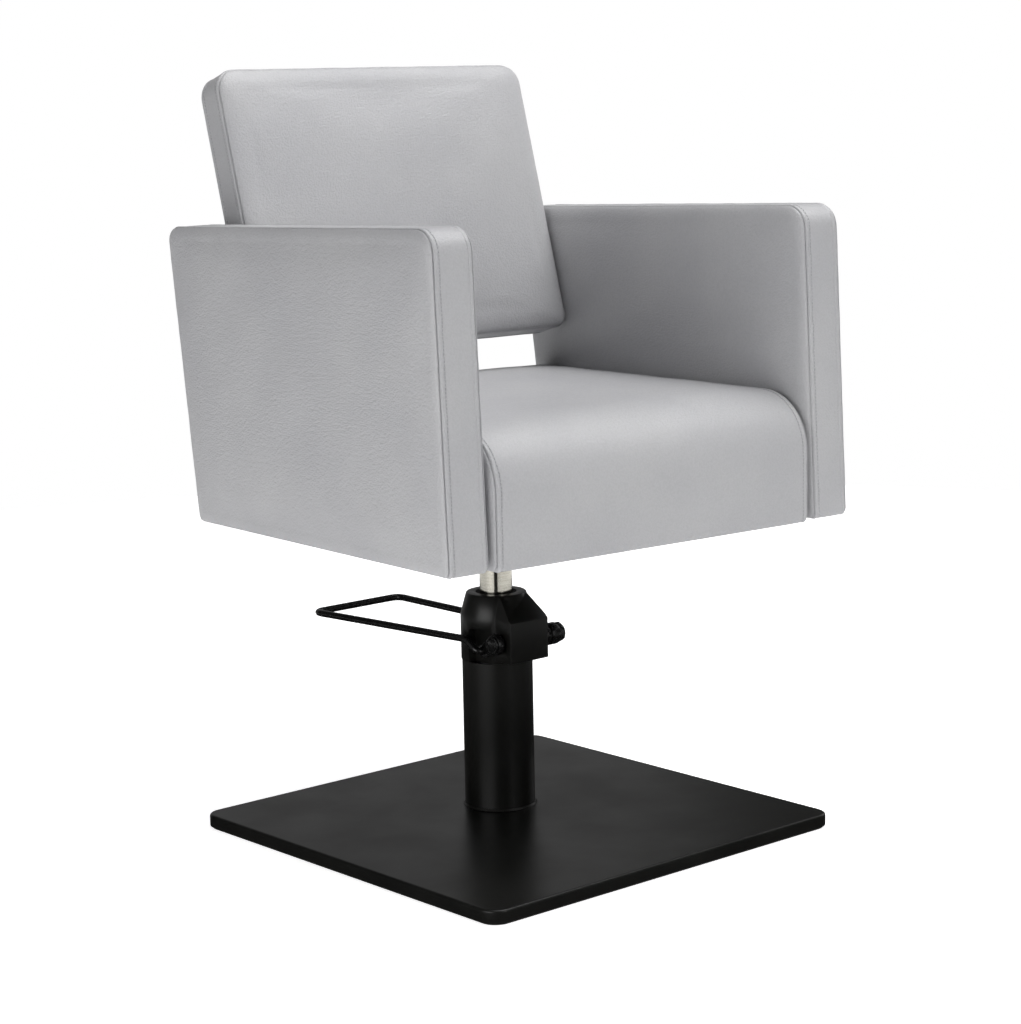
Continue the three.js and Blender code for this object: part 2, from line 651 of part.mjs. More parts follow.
function armPad(side) {
  const outer = sweep(armOutline(0, 28, 18, 6), ALONG_X, side * ARM_INNER, side * ARM_OUTER, 4);
  const slot = sweep(
    armOutline(ARM_BOARD_INSET - GAP, 18, 10, 0), ALONG_X,
    side * (ARM_BOARD_INNER - GAP), side * (ARM_BOARD_OUTER + GAP));
  let pad = outer.subtract(slot);
  for (const [y, z] of SEAT_BOLTS) {
    pad = pad.subtract(
      crosswise(SIDE_BOLT_RADIUS + BOLT_CLEARANCE, side * 240, side * 264, y, z, 12));
  }
  for (const place of BACK_BOLTS) {
    const [y, z] = backBoltPlace(place);
    pad = pad.subtract(
      crosswise(SIDE_BOLT_RADIUS + BOLT_CLEARANCE, side * 240, side * 264, y, z, 12));
    pad = pad.subtract(
      crosswise(BOLT_HEAD + 1.2, side * 284, side * (ARM_BOARD_OUTER + 6.5), y, z, 16));
  }
  return pad;
}

const STRIP_TOP = ARM_BOTTOM + 3.6;

function armBoard(side) {
  const body = sweep(
    armOutline(ARM_BOARD_INSET, 18, 10, 0), ALONG_X, side * ARM_BOARD_INNER, side * ARM_BOARD_OUTER);
  const below = box([-400, -400, 0], [400, 400, STRIP_TOP + GAP]);
  let board = body.subtract(below);
  for (const [y, z] of SEAT_BOLTS) {
    board = board.subtract(crosswise(SIDE_BOLT_RADIUS + GAP, side * 260, side * 282, y, z, 12));
  }
  for (const place of BACK_BOLTS) {
    const [y, z] = backBoltPlace(place);
    board = board.subtract(crosswise(SIDE_BOLT_RADIUS + GAP, side * 260, side * 290, y, z, 12));
  }
  return board;
}

function armStrip(side) {
  const x = [side * ARM_BOARD_INNER, side * ARM_BOARD_OUTER].sort((a, b) => a - b);
  const front = ARM_FRONT_BOTTOM + ARM_BOARD_INSET + 2;
  const back = ARM_BACK_BOTTOM - ARM_BOARD_INSET - 2;
  return box([x[0], front, ARM_BOTTOM + 0.6], [x[1], back, STRIP_TOP]);
}

// A bolt from inside the seat's box, through the rail and the padding into the arm's board.
function seatSideBolt(side, [y, z]) {
  const headEnd = BOX_X - RAIL_THICKNESS - GAP;
  const head = crosswise(BOLT_HEAD, side * (headEnd - 5), side * headEnd, y, z, 6);
  return head.add(crosswise(SIDE_BOLT_RADIUS, side * (headEnd - 2), side * 281, y, z, 12));
}

// A bolt from the arm's board, through the padding into the back's frame.
function backSideBolt(side, place) {
  const [y, z] = backBoltPlace(place);
  const head = crosswise(
    BOLT_HEAD, side * (ARM_BOARD_OUTER + GAP), side * (ARM_BOARD_OUTER + 5.5), y, z, 16);
  return head.add(crosswise(SIDE_BOLT_RADIUS, side * 182, side * 288, y, z, 12));
}

// ---- back ------------------------------------------------------------------------------------

function backOutline(inset, radius) {
  const x = BACK_HALF_WIDTH - inset;
  const low = Math.max(radius - 10, 2);
  return rounded([
    [-x, inset, low], [x, inset, low], [x, BACK_HEIGHT - inset, radius],
    [-x, BACK_HEIGHT - inset, radius],
  ]);
}

// Holes for the back's bolts, drawn in the back's own frame.
function boltHoles(solid, radius, from, to) {
  let cut = solid;
  for (const [y, z] of BACK_BOLTS) {
    for (const side of [-1, 1]) {
      cut = cut.subtract(crosswise(radius, side * from, side * to, y, z, 12));
    }
  }
  return cut;
}

function backCushion() {
  const outer = sweep(backOutline(0, 28), ALONG_Y, 0, BACK_FRONT_THICKNESS, 5);
  const pocket = sweep(
    backOutline(BACK_FRAME_INSET - GAP, 18), ALONG_Y, BACK_FRAME_FRONT - GAP, BACK_REAR_THICKNESS);
  return boltHoles(outer.subtract(pocket), SIDE_BOLT_RADIUS + BOLT_CLEARANCE, 215, 240);
}

function backFrame() {
  const frame = sweep(backOutline(BACK_FRAME_INSET, 18), ALONG_Y, BACK_FRAME_FRONT, BACK_FRAME_REAR);
  return boltHoles(frame, SIDE_BOLT_RADIUS + GAP, 181, 240);
}

function backRearPanel() {
  return sweep(
    backOutline(1.5, 26), ALONG_Y, BACK_FRONT_THICKNESS + GAP, BACK_REAR_THICKNESS, 1);
}

// ---- assembly --------------------------------------------------------------------------------

const chair = new THREE.Group();
const base = new THREE.Group();
const back = new THREE.Group();
base.rotation.z = BASE_TURN;
back.rotation.x = -BACK_TILT;
back.position.set(0, BACK_FOOT_Y, BACK_FOOT_Z);
chair.add(base, back);

base.add(
  meshOf('base_mat', baseMat(), RUBBER()),
  meshOf('base_cover', baseCover(), BLACK_PAINT()),
  meshOf('base_ballast_plate', baseBallast(), STEEL()),
  meshOf('column_tube', columnTube(), BLACK_PAINT()),
  meshOf('column_foot_ring', columnFootRing(), BLACK_PAINT()),
  meshOf('column_foot_cap', footCap(), STEEL()),
  meshOf('cylinder_liner', cylinderLiner(), STEEL()),
  meshOf('pump_head', pumpHead(), BLACK_PAINT()),
  meshOf('ram_wiper', ramWiper(), RUBBER()),
  meshOf('ram', ram(), CHROME()),
  meshOf('piston_seal', pistonSeal(), BRASS()),
  meshOf('plunger_barrel', plungerBarrel(), STEEL()),
  meshOf('pump_plunger', pumpPlunger(), STEEL()),
  meshOf('plunger_spring', plungerSpring(), STEEL()),
  meshOf('lever_shaft', leverShaft(), STEEL()),
  meshOf('lever_cam', leverCam(), STEEL()),
  meshOf('left_lever_crank', leverCrank(-1), BLACK_PAINT()),
  meshOf('right_lever_crank', leverCrank(1), BLACK_PAINT()),
  meshOf('lever_retainer', leverRetainer(), BLACK_PAINT()),
  meshOf('shaft_collar', shaftCollar(), BLACK_PAINT()),
  meshOf('shaft_nut', shaftNut(), BLACK_PAINT()),
  meshOf('foot_lever', leverWire(), BLACK_PAINT()),
);
FOOT_BOLTS.forEach((place, i) => base.add(meshOf(`foot_bolt_${i + 1}`, footBolt(place), STEEL())));

chair.add(
  meshOf('seat_mount_plate', seatPlate(), BLACK_PAINT()),
  meshOf('seat_board', seatBoard(), PLYWOOD()),
  meshOf('seat_front_rail', seatEndRail(true), PLYWOOD()),
  meshOf('seat_back_rail', seatEndRail(false), PLYWOOD()),
  meshOf('seat_deck', seatDeck(), PLYWOOD()),
  meshOf('seat_cushion', seatCushion(), LEATHERETTE()),
  meshOf('seat_underlining', seatUnderlining(), BLACK_CLOTH()),
);
PLATE_BOLTS.forEach((place, i) => {
  chair.add(meshOf(`seat_plate_bolt_${i + 1}`, seatPlateBolt(place), STEEL()));
});

for (const [side, name] of [[-1, 'left'], [1, 'right']]) {
  chair.add(
    meshOf(`seat_${name}_rail`, seatSideRail(side), PLYWOOD()),
    meshOf(`${name}_arm_pad`, armPad(side), LEATHERETTE()),
    meshOf(`${name}_arm_board`, armBoard(side), PLYWOOD()),
    meshOf(`${name}_arm_bottom_strip`, armStrip(side), BLACK_CLOTH()),
    meshOf(`${name}_arm_front_bolt`, seatSideBolt(side, SEAT_BOLTS[0]), STEEL()),
    meshOf(`${name}_arm_rear_bolt`, seatSideBolt(side, SEAT_BOLTS[1]), STEEL()),
    meshOf(`${name}_back_lower_bolt`, backSideBolt(side, BACK_BOLTS[0]), STEEL()),
    meshOf(`${name}_back_upper_bolt`, backSideBolt(side, BACK_BOLTS[1]), STEEL()),
  );
}

back.add(
  meshOf('back_cushion', backCushion(), LEATHERETTE()),
  meshOf('back_frame', backFrame(), PLYWOOD()),
  meshOf('back_rear_panel', backRearPanel(), LEATHERETTE()),
);

export default chair;
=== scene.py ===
import math

import bmesh
import bpy
import numpy as np
from mathutils import Matrix, Vector, noise


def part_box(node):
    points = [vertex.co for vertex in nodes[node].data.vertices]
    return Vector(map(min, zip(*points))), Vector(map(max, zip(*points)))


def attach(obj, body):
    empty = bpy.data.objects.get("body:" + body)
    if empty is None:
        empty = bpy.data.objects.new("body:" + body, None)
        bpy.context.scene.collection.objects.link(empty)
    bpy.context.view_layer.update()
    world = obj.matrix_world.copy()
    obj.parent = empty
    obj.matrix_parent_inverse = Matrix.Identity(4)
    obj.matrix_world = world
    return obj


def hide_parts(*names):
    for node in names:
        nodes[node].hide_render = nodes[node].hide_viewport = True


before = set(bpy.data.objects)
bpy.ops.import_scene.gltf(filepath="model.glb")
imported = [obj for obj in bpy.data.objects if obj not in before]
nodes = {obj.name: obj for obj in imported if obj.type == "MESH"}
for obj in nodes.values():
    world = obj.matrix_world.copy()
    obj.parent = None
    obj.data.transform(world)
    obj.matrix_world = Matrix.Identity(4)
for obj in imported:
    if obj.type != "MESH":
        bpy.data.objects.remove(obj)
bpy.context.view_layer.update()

MM = 0.001


# ---- base mat ------------------------------------------------------------------------------------
# The mat under the base is a moulded sheet of black nitrile rubber, two millimetres thick. It keeps
# the steel off the floor and is held by the cover that is pressed down over it.

def linear(code):
    """An sRGB hex colour as linear red, green, blue and alpha."""
    values = [int(code[i:i + 2], 16) / 255 for i in (1, 3, 5)]
    return [v / 12.92 if v <= 0.04045 else ((v + 0.055) / 1.055) ** 2.4 for v in values] + [1.0]


def add(tree, kind, settings, links=()):
    """Adds one shader node with its settings and its links, each link as (input, node, output)."""
    made = tree.nodes.new("ShaderNode" + kind)
    for key, value in settings.items():
        if key == "stops":
            for stop, (position, colour) in zip(made.color_ramp.elements, value):
                stop.position = position
                stop.color = colour
        elif isinstance(key, int) or key in made.inputs:
            made.inputs[key].default_value = value
        else:
            setattr(made, key, value)
    for socket, source, output in links:
        tree.links.new(source.outputs[output], made.inputs[socket])
    return made


def new_material(name):
    """An empty node material, its tree, and the node that gives places on the piece in metres."""
    made = bpy.data.materials.new(name)
    made.use_nodes = True
    made.node_tree.nodes.clear()
    return made, made.node_tree, add(made.node_tree, "TexCoord", {})


def per_mm(size):
    """The texture scale whose features are this many millimetres across."""
    return 1 / (size * MM)


# Moulded nitrile rubber: a dull, even black with the fine pitted skin of its steel mould.
moulded_rubber, tree, place = new_material("moulded_rubber")
pits = add(tree, "TexNoise", {"Scale": per_mm(1.5), "Detail": 3.0}, [("Vector", place, "Object")])
skin = add(tree, "Bump", {"Strength": 0.4, "Distance": 0.2 * MM}, [("Height", pits, "Fac")])
bloom = add(tree, "TexNoise", {"Scale": per_mm(60)}, [("Vector", place, "Object")])
tone = add(tree, "ValToRGB", {"stops": [(0.3, linear("#161617")), (0.7, linear("#202122"))]},
           [("Fac", bloom, "Fac")])
shader = add(tree, "BsdfPrincipled", {"Roughness": 0.82, "IOR": 1.52, "Specular IOR Level": 0.3},
             [("Base Color", tone, "Color"), ("Normal", skin, "Normal")])
add(tree, "OutputMaterial", {}, [("Surface", shader, "BSDF")])


WELD_REACH = 0.005
FLAT_ANGLE = math.radians(0.6)  # faces closer than this in angle are one flat
ROUNDED_ANGLE = math.radians(34)
SHARP_ANGLE = math.radians(31)


def split_edges(piece):
    """Keeps the piece's sharp edges sharp where the rest of it is shaded smooth."""
    split = piece.modifiers.new("split", "EDGE_SPLIT")
    split.split_angle = SHARP_ANGLE


def finish_nodes(names, finish, edge=0.0):
    """Gives CAD nodes a finish, and shades them as turned or pressed metal with softened edges.

    The facets are welded and the flats made whole before the edges are rounded by edge millimetres.
    """
    for name in names:
        piece = nodes[name]
        piece.data.materials.clear()
        piece.data.materials.append(finish)
        if "custom_normal" in piece.data.attributes:
            piece.data.attributes.remove(piece.data.attributes["custom_normal"])
        for layer in ("sharp_edge", "sharp_face"):
            if layer in piece.data.attributes:
                piece.data.attributes.remove(piece.data.attributes[layer])
        piece.data.polygons.foreach_set("use_smooth", [True] * len(piece.data.polygons))
        weld = piece.modifiers.new("weld", "WELD")
        weld.merge_threshold = WELD_REACH * MM
        if edge:
            flats = piece.modifiers.new("flats", "DECIMATE")
            flats.decimate_type = "DISSOLVE"
            flats.angle_limit = FLAT_ANGLE
            rounding = piece.modifiers.new("rounding", "BEVEL")
            rounding.limit_method = "ANGLE"
            rounding.angle_limit = ROUNDED_ANGLE
            rounding.width = edge * MM
            rounding.segments = 2
        split_edges(piece)


finish_nodes(["base_mat"], moulded_rubber)


# ---- base cover and ballast ----------------------------------------------------------------------
# The cover is a square of steel sheet pressed into a shallow tray, with rounded corners and an eased
# rim, and powder-coated black. A plain steel plate inside it gives the base its weight.

BASE_SIDE = 560
BASE_CORNER = 23
BASE_RIM = 3.2
BASE_FOOT_EASE = 1.2
BASE_CORNER_STEPS = 14
BASE_TURN = math.radians(3.6)  # the base and the pump stand turned by this much under the seat

# Satin black polyester powder on steel: nearly black, with the faint orange peel of cured powder
# that spreads a highlight wide. The peel is 1.6 mm across, as on the real coat.
black_powder_coat, tree, place = new_material("black_powder_coat")
peel = add(tree, "TexNoise", {"Scale": per_mm(1.6), "Detail": 2.0, "Roughness": 0.6},
           [("Vector", place, "Object")])
coat = add(tree, "Bump", {"Strength": 0.18, "Distance": 0.1 * MM}, [("Height", peel, "Fac")])
cloudy = add(tree, "TexNoise", {"Scale": per_mm(90), "Detail": 3.0}, [("Vector", place, "Object")])
tone = add(tree, "ValToRGB", {"stops": [(0.3, linear("#0f0f0e")), (0.75, linear("#161614"))]},
           [("Fac", cloudy, "Fac")])
dull = add(tree, "MapRange", {"From Min": 0.3, "From Max": 0.7, "To Min": 0.3, "To Max": 0.37},
           [("Value", cloudy, "Fac")])
shader = add(tree, "BsdfPrincipled", {"IOR": 1.5, "Specular IOR Level": 0.28},
             [("Base Color", tone, "Color"), ("Roughness", dull, "Result"),
              ("Normal", coat, "Normal")])
add(tree, "OutputMaterial", {}, [("Surface", shader, "BSDF")])


def outline(corners, inset, runs, turn):
    """Points round (u, v, radius) corners, drawn in by inset, always the same number in the same order.

    Corners run counter-clockwise. Each takes turn steps of arc, and run i follows corner i. Lines
    that lie further in have wider corners, so that nets between them stay even.
    """
    count = len(corners)
    spots = [np.array(corner[:2], float) for corner in corners]
    ways = [spots[(i + 1) % count] - spots[i] for i in range(count)]
    ways = [way / np.linalg.norm(way) for way in ways]
    arcs = []
    for i, (_, _, radius) in enumerate(corners):
        before = ways[i - 1]
        after = ways[i]
        half = math.acos(float(np.clip(-before @ after, -1, 1))) / 2
        inward = (after - before) / np.linalg.norm(after - before)
        radius = max(radius - inset, min(12, radius + inset), 1.3 * inset)
        centre = spots[i] + inward * (inset + radius) / math.sin(half)
        start = math.atan2(-before[0], before[1])
        sweep = math.pi - 2 * half
        angles = start + sweep * np.arange(turn + 1) / turn
        arcs.append(centre + radius * np.stack([np.cos(angles), np.sin(angles)], 1))
    points = []
    for i, arc in enumerate(arcs):
        points.extend(arc)
        following = arcs[(i + 1) % count][0]
        for step in range(1, runs[i]):
            points.append(arc[-1] + (following - arc[-1]) * step / runs[i])
    return np.array(points)


def new_piece(name, verts, faces, finish, smooth=True):
    """A mesh object from points in millimetres, its faces turned to point outwards."""
    mesh = bpy.data.meshes.new(name)
    mesh.from_pydata([tuple(v) for v in np.asarray(verts, float) * MM], [], faces)
    form = bmesh.new()
    form.from_mesh(mesh)
    bmesh.ops.recalc_face_normals(form, faces=form.faces)
    form.to_mesh(mesh)
    form.free()
    mesh.polygons.foreach_set("use_smooth", [smooth] * len(mesh.polygons))
    mesh.materials.append(finish)
    piece = bpy.data.objects.new(name, mesh)
    bpy.context.scene.collection.objects.link(piece)
    return piece


def ring_faces(rings, count, closed_ends=True):
    """Quads between rings of count points, with a flat face over each end."""
    faces = []
    for k in range(rings - 1):
        for i in range(count):
            j = (i + 1) % count
            faces.append((k * count + i, k * count + j, (k + 1) * count + j, (k + 1) * count + i))
    if closed_ends:
        faces.append(tuple(range(count)))
        faces.append(tuple(range((rings - 1) * count, rings * count)))
    return faces


low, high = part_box("base_cover")
cover_centre = (low + high) / 2 / MM
cover_low = low.z / MM
cover_high = high.z / MM
half_side = BASE_SIDE / 2
square = [(-half_side, -half_side, BASE_CORNER), (half_side, -half_side, BASE_CORNER),
          (half_side, half_side, BASE_CORNER), (-half_side, half_side, BASE_CORNER)]
levels = []
for step in range(4):
    bend = math.radians(30 * step)
    levels.append((BASE_FOOT_EASE * (1 - math.sin(bend)),
                   cover_low + BASE_FOOT_EASE * (1 - math.cos(bend))))
for step in range(9):
    bend = math.radians(90 / 8 * step)
    levels.append((BASE_RIM * (1 - math.cos(bend)), cover_high - BASE_RIM * (1 - math.sin(bend))))
levels.append((BASE_RIM + 2, cover_high))
turned = np.array([[math.cos(BASE_TURN), -math.sin(BASE_TURN)],
                   [math.sin(BASE_TURN), math.cos(BASE_TURN)]])
verts = []
for inset, height in levels:
    for spot in outline(square, inset, [1] * 4, BASE_CORNER_STEPS):
        u, v = turned @ spot
        verts.append((cover_centre.x + u, cover_centre.y + v, height))
faces = ring_faces(len(levels), len(verts) // len(levels))
base_cover = new_piece("base_cover_pressing", verts, faces, black_powder_coat)
split_edges(base_cover)
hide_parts("base_cover")
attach(base_cover, "base")

# Hot-rolled mild steel: grey, with darker scale in soft clouds.
mild_steel, tree, place = new_material("mild_steel")
scale = add(tree, "TexNoise", {"Scale": per_mm(14), "Detail": 4.0}, [("Vector", place, "Object")])
tone = add(tree, "ValToRGB", {"stops": [(0.35, linear("#6b6e72")), (0.7, linear("#9a9da1"))]},
           [("Fac", scale, "Fac")])
rough = add(tree, "MapRange", {"From Min": 0.3, "From Max": 0.7, "To Min": 0.32, "To Max": 0.5},
            [("Value", scale, "Fac")])
shader = add(tree, "BsdfPrincipled", {"Metallic": 1.0},
             [("Base Color", tone, "Color"), ("Roughness", rough, "Result")])
add(tree, "OutputMaterial", {}, [("Surface", shader, "BSDF")])
finish_nodes(["base_ballast_plate"], mild_steel)


# ---- bolts ---------------------------------------------------------------------------------------
# Every bolt is cold-headed steel, zinc-plated: four through the base into the column's foot, four
# in the seat's plate, and eight that join the arms to the seat's box and the back.

# Zinc plating: a cool bright grey with a faint cloudiness, from the plating bath.
zinc_plated_steel, tree, place = new_material("zinc_plated_steel")
bath = add(tree, "TexNoise", {"Scale": per_mm(5), "Detail": 3.0}, [("Vector", place, "Object")])
tone = add(tree, "ValToRGB", {"stops": [(0.3, linear("#a4a8ad")), (0.7, linear("#c2c5c9"))]},
           [("Fac", bath, "Fac")])
rough = add(tree, "MapRange", {"From Min": 0.3, "From Max": 0.7, "To Min": 0.26, "To Max": 0.4},
            [("Value", bath, "Fac")])
shader = add(tree, "BsdfPrincipled", {"Metallic": 1.0},
             [("Base Color", tone, "Color"), ("Roughness", rough, "Result")])
add(tree, "OutputMaterial", {}, [("Surface", shader, "BSDF")])
finish_nodes([name for name in nodes if "_bolt" in name], zinc_plated_steel, 0.5)


# ---- column --------------------------------------------------------------------------------------
# The column is a length of drawn steel tube, powder-coated, that stands on a bolted steel foot with
# a fine weld bead round it. The pump's cylinder is a ground steel liner inside it.

finish_nodes(["column_tube", "column_foot_ring"], black_powder_coat)
finish_nodes(["column_foot_cap", "cylinder_liner"], mild_steel)


# ---- ram -----------------------------------------------------------------------------------------
# The ram that carries the seat is a ground steel bar plated with hard chrome and polished. It has a
# bronze seal near its foot, and a rubber wiper in the pump's head keeps dust off it.

RAM_SIDES = 128
RAM_EASE = 1
RAM_GROOVE_RADIUS = 19
RAM_GROOVE_FROM = 6
RAM_GROOVE_TO = 15
RAM_TAPER = 42
RAM_TAPER_RADIUS = 18

# Polished hard chrome: a bright mirror, with the faint hoop lines of the polishing belt. The lines
# are really some 0.1 mm apart and are drawn at 0.8 mm, so that they show at all.
hard_chrome, tree, place = new_material("hard_chrome")
stretch = add(tree, "Mapping", {"Scale": (0.02, 0.02, 1.0)}, [("Vector", place, "Object")])
hoops = add(tree, "TexNoise", {"Scale": per_mm(0.8), "Detail": 2.0}, [("Vector", stretch, "Vector")])
belt = add(tree, "Bump", {"Strength": 0.04, "Distance": 0.02 * MM}, [("Height", hoops, "Fac")])
rough = add(tree, "MapRange", {"From Min": 0.3, "From Max": 0.7, "To Min": 0.12, "To Max": 0.17},
            [("Value", hoops, "Fac")])
shader = add(tree, "BsdfPrincipled", {"Base Color": linear("#b3b0a6"), "Metallic": 1.0},
             [("Roughness", rough, "Result"), ("Normal", belt, "Normal")])
add(tree, "OutputMaterial", {}, [("Surface", shader, "BSDF")])

low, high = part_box("ram")
ram_foot = low.z / MM
ram_top = high.z / MM
ram_radius = (high.x - low.x) / 2 / MM
profile = [(ram_radius - RAM_EASE, ram_foot), (ram_radius, ram_foot + RAM_EASE),
           (ram_radius, ram_foot + RAM_GROOVE_FROM), (RAM_GROOVE_RADIUS, ram_foot + RAM_GROOVE_FROM),
           (RAM_GROOVE_RADIUS, ram_foot + RAM_GROOVE_TO), (ram_radius, ram_foot + RAM_GROOVE_TO),
           (ram_radius, ram_top - RAM_TAPER), (RAM_TAPER_RADIUS, ram_top - RAM_EASE),
           (RAM_TAPER_RADIUS - RAM_EASE, ram_top)]
verts = []
for radius, height in profile:
    for i in range(RAM_SIDES):
        angle = 2 * math.pi * i / RAM_SIDES
        verts.append((radius * math.cos(angle), radius * math.sin(angle), height))
ram = new_piece("ram_bar", verts, ring_faces(len(profile), RAM_SIDES), hard_chrome)
split_edges(ram)
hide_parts("ram")
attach(ram, "ram")

# Cast bronze: warm brown-gold with turning marks worn to a satin.
turned_bronze, tree, place = new_material("turned_bronze")
marks = add(tree, "TexNoise", {"Scale": per_mm(1.2), "Detail": 2.0}, [("Vector", place, "Object")])
tone = add(tree, "ValToRGB", {"stops": [(0.3, linear("#8f6f3c")), (0.7, linear("#b8955a"))]},
           [("Fac", marks, "Fac")])
shader = add(tree, "BsdfPrincipled", {"Metallic": 1.0, "Roughness": 0.34},
             [("Base Color", tone, "Color")])
add(tree, "OutputMaterial", {}, [("Surface", shader, "BSDF")])
finish_nodes(["piston_seal"], turned_bronze)
finish_nodes(["ram_wiper"], moulded_rubber, 0.3)


# ---- pump ----------------------------------------------------------------------------------------
# The head is an iron casting, machined on top and powder-coated with the column. Below the lever's
# shaft a small steel plunger works in its own barrel, with a wire spring that pushes it back up.

finish_nodes(["pump_head"], black_powder_coat, 0.9)
finish_nodes(["plunger_barrel", "pump_plunger", "plunger_spring"], zinc_plated_steel)


# ---- lever ---------------------------------------------------------------------------------------
# The foot lever is one length of steel rod bent into a loop and stove-enamelled. Its ends are set
# in two flat cranks on a shaft through the head, held by a collar and a nut on one side.

WIRE_RADIUS = 4.5
WIRE_SIDES = 20
WIRE_ENDS = (37, -24, 225)  # where the rod leaves each crank
WIRE_NEAR = (53.4, -2, 238.5)
WIRE_FAR = (71, 285, 234)
WIRE_OUT = 53  # how far each end runs straight out of its crank
WIRE_BENDS = [7, 20, 14, 14, 20, 7]

# Stove enamel on rod: a deep gloss black that draws thin bright lines along the rod.
black_enamel, tree, place = new_material("black_enamel")
sag = add(tree, "TexNoise", {"Scale": per_mm(7), "Detail": 1.0}, [("Vector", place, "Object")])
flow = add(tree, "Bump", {"Strength": 0.12, "Distance": 0.1 * MM}, [("Height", sag, "Fac")])
rough = add(tree, "MapRange", {"From Min": 0.3, "From Max": 0.7, "To Min": 0.2, "To Max": 0.32},
            [("Value", sag, "Fac")])
shader = add(tree, "BsdfPrincipled", {"Base Color": linear("#0d0d0d"), "IOR": 1.5,
                                      "Specular IOR Level": 0.45},
             [("Roughness", rough, "Result"), ("Normal", flow, "Normal")])
add(tree, "OutputMaterial", {}, [("Surface", shader, "BSDF")])

finish_nodes(["lever_cam"], mild_steel, 0.4)
finish_nodes(["lever_shaft", "left_lever_crank", "right_lever_crank", "lever_retainer", "shaft_collar",
              "shaft_nut"], black_enamel, 0.5)


def bent_rod(points, bends, per_bend=9):
    """Points along straight runs, with a curve of its own reach at each inner corner."""
    path = [points[0]]
    for i in range(1, len(points) - 1):
        corner = points[i]
        back = (points[i - 1] - corner) / np.linalg.norm(points[i - 1] - corner)
        onward = (points[i + 1] - corner) / np.linalg.norm(points[i + 1] - corner)
        reach = bends[i - 1] / math.tan(math.acos(back @ onward) / 2)
        start = corner + back * reach
        end = corner + onward * reach
        for step in range(per_bend + 1):
            t = step / per_bend
            path.append((1 - t) ** 2 * start + 2 * t * (1 - t) * corner + t * t * end)
    path.append(points[-1])
    return np.array(path)


def tube(path, radius, sides):
    """Rings of points along a path, carried round its bends without twisting."""
    ways = np.gradient(path, axis=0)
    ways /= np.linalg.norm(ways, axis=1)[:, None]
    aside = [0.0, 1.0, 0.0] if abs(ways[0][2]) > 0.9 else [0.0, 0.0, 1.0]
    across = np.cross(ways[0], aside)
    verts = []
    for spot, way in zip(path, ways):
        across = across - way * (across @ way)
        across /= np.linalg.norm(across)
        other = np.cross(way, across)
        for i in range(sides):
            angle = 2 * math.pi * i / sides
            verts.append(spot + radius * (math.cos(angle) * across + math.sin(angle) * other))
    return verts


corners = [WIRE_ENDS, (WIRE_OUT, *WIRE_ENDS[1:]), WIRE_NEAR, WIRE_FAR]
corners = [(-x, y, z) for x, y, z in corners] + corners[::-1]
path = bent_rod(np.array(corners, float), WIRE_BENDS)
path[:, :2] = path[:, :2] @ turned.T
verts = tube(path, WIRE_RADIUS, WIRE_SIDES)
foot_lever = new_piece("foot_lever_rod", verts, ring_faces(len(path), WIRE_SIDES), black_enamel)
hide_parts("foot_lever")
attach(foot_lever, "lever")


# ---- seat plate ----------------------------------------------------------------------------------
# A flame-cut steel plate with a turned socket welded under it sits on the ram's taper. It is
# powder-coated like the column and bolted up into the seat's wooden box.

finish_nodes(["seat_mount_plate"], black_powder_coat, 0.6)


# ---- wooden parts --------------------------------------------------------------------------------
# The seat's box, the arms' boards and the back's frame are sawn from birch plywood. The box is
# glued and pinned, and the padding is stuck to its outside.

# Birch plywood: pale tan with long brown grain lines some 3 mm apart along the sheet.
birch_plywood, tree, place = new_material("birch_plywood")
stretch = add(tree, "Mapping", {"Scale": (0.06, 1.0, 1.0)}, [("Vector", place, "Object")])
grain = add(tree, "TexNoise", {"Scale": per_mm(3), "Detail": 5.0, "Distortion": 0.4},
            [("Vector", stretch, "Vector")])
tone = add(tree, "ValToRGB", {"stops": [(0.32, linear("#b48d5d")), (0.66, linear("#dcc196"))]},
           [("Fac", grain, "Fac")])
fibre = add(tree, "Bump", {"Strength": 0.2, "Distance": 0.2 * MM}, [("Height", grain, "Fac")])
shader = add(tree, "BsdfPrincipled", {"Roughness": 0.72, "IOR": 1.5},
             [("Base Color", tone, "Color"), ("Normal", fibre, "Normal")])
add(tree, "OutputMaterial", {}, [("Surface", shader, "BSDF")])
finish_nodes(["seat_board", "seat_front_rail", "seat_back_rail", "seat_left_rail",
              "seat_right_rail", "seat_deck", "left_arm_board", "right_arm_board", "back_frame"],
             birch_plywood, 0.8)


# ---- seat cushion --------------------------------------------------------------------------------
# Foam is glued over the box and covered in light grey leatherette: one wide band over the top, front
# and back, and a panel at each side. The band's edge is folded under and stitched beside the seam.

# Leatherette, a knitted cloth with an embossed PVC skin: cool light grey, a soft sheen, and a pebbled
# grain, with painted shade in the hollows between the pebbles. The pebbles are really 0.8 mm across and
# are drawn at 2.3 mm, so that they show.
leatherette, tree, place = new_material("leatherette")
pebbles = add(tree, "TexVoronoi", {"feature": "SMOOTH_F1", "Scale": per_mm(2.3), "Smoothness": 0.5,
                                   "Randomness": 1.0}, [("Vector", place, "Object")])
creases = add(tree, "TexNoise", {"Scale": per_mm(4.5), "Detail": 4.0, "Roughness": 0.6},
              [("Vector", place, "Object")])
emboss = add(tree, "Bump", {"Strength": 0.8, "Distance": 0.45 * MM, "invert": True},
             [("Height", pebbles, "Distance")])
worked = add(tree, "Bump", {"Strength": 0.6, "Distance": 0.7 * MM},
             [("Height", creases, "Fac"), ("Normal", emboss, "Normal")])
dye = add(tree, "TexNoise", {"Scale": per_mm(120), "Detail": 2.0}, [("Vector", place, "Object")])
tone = add(tree, "ValToRGB", {"stops": [(0.3, linear("#b0b0b3")), (0.7, linear("#b6b6b8"))]},
           [("Fac", dye, "Fac")])
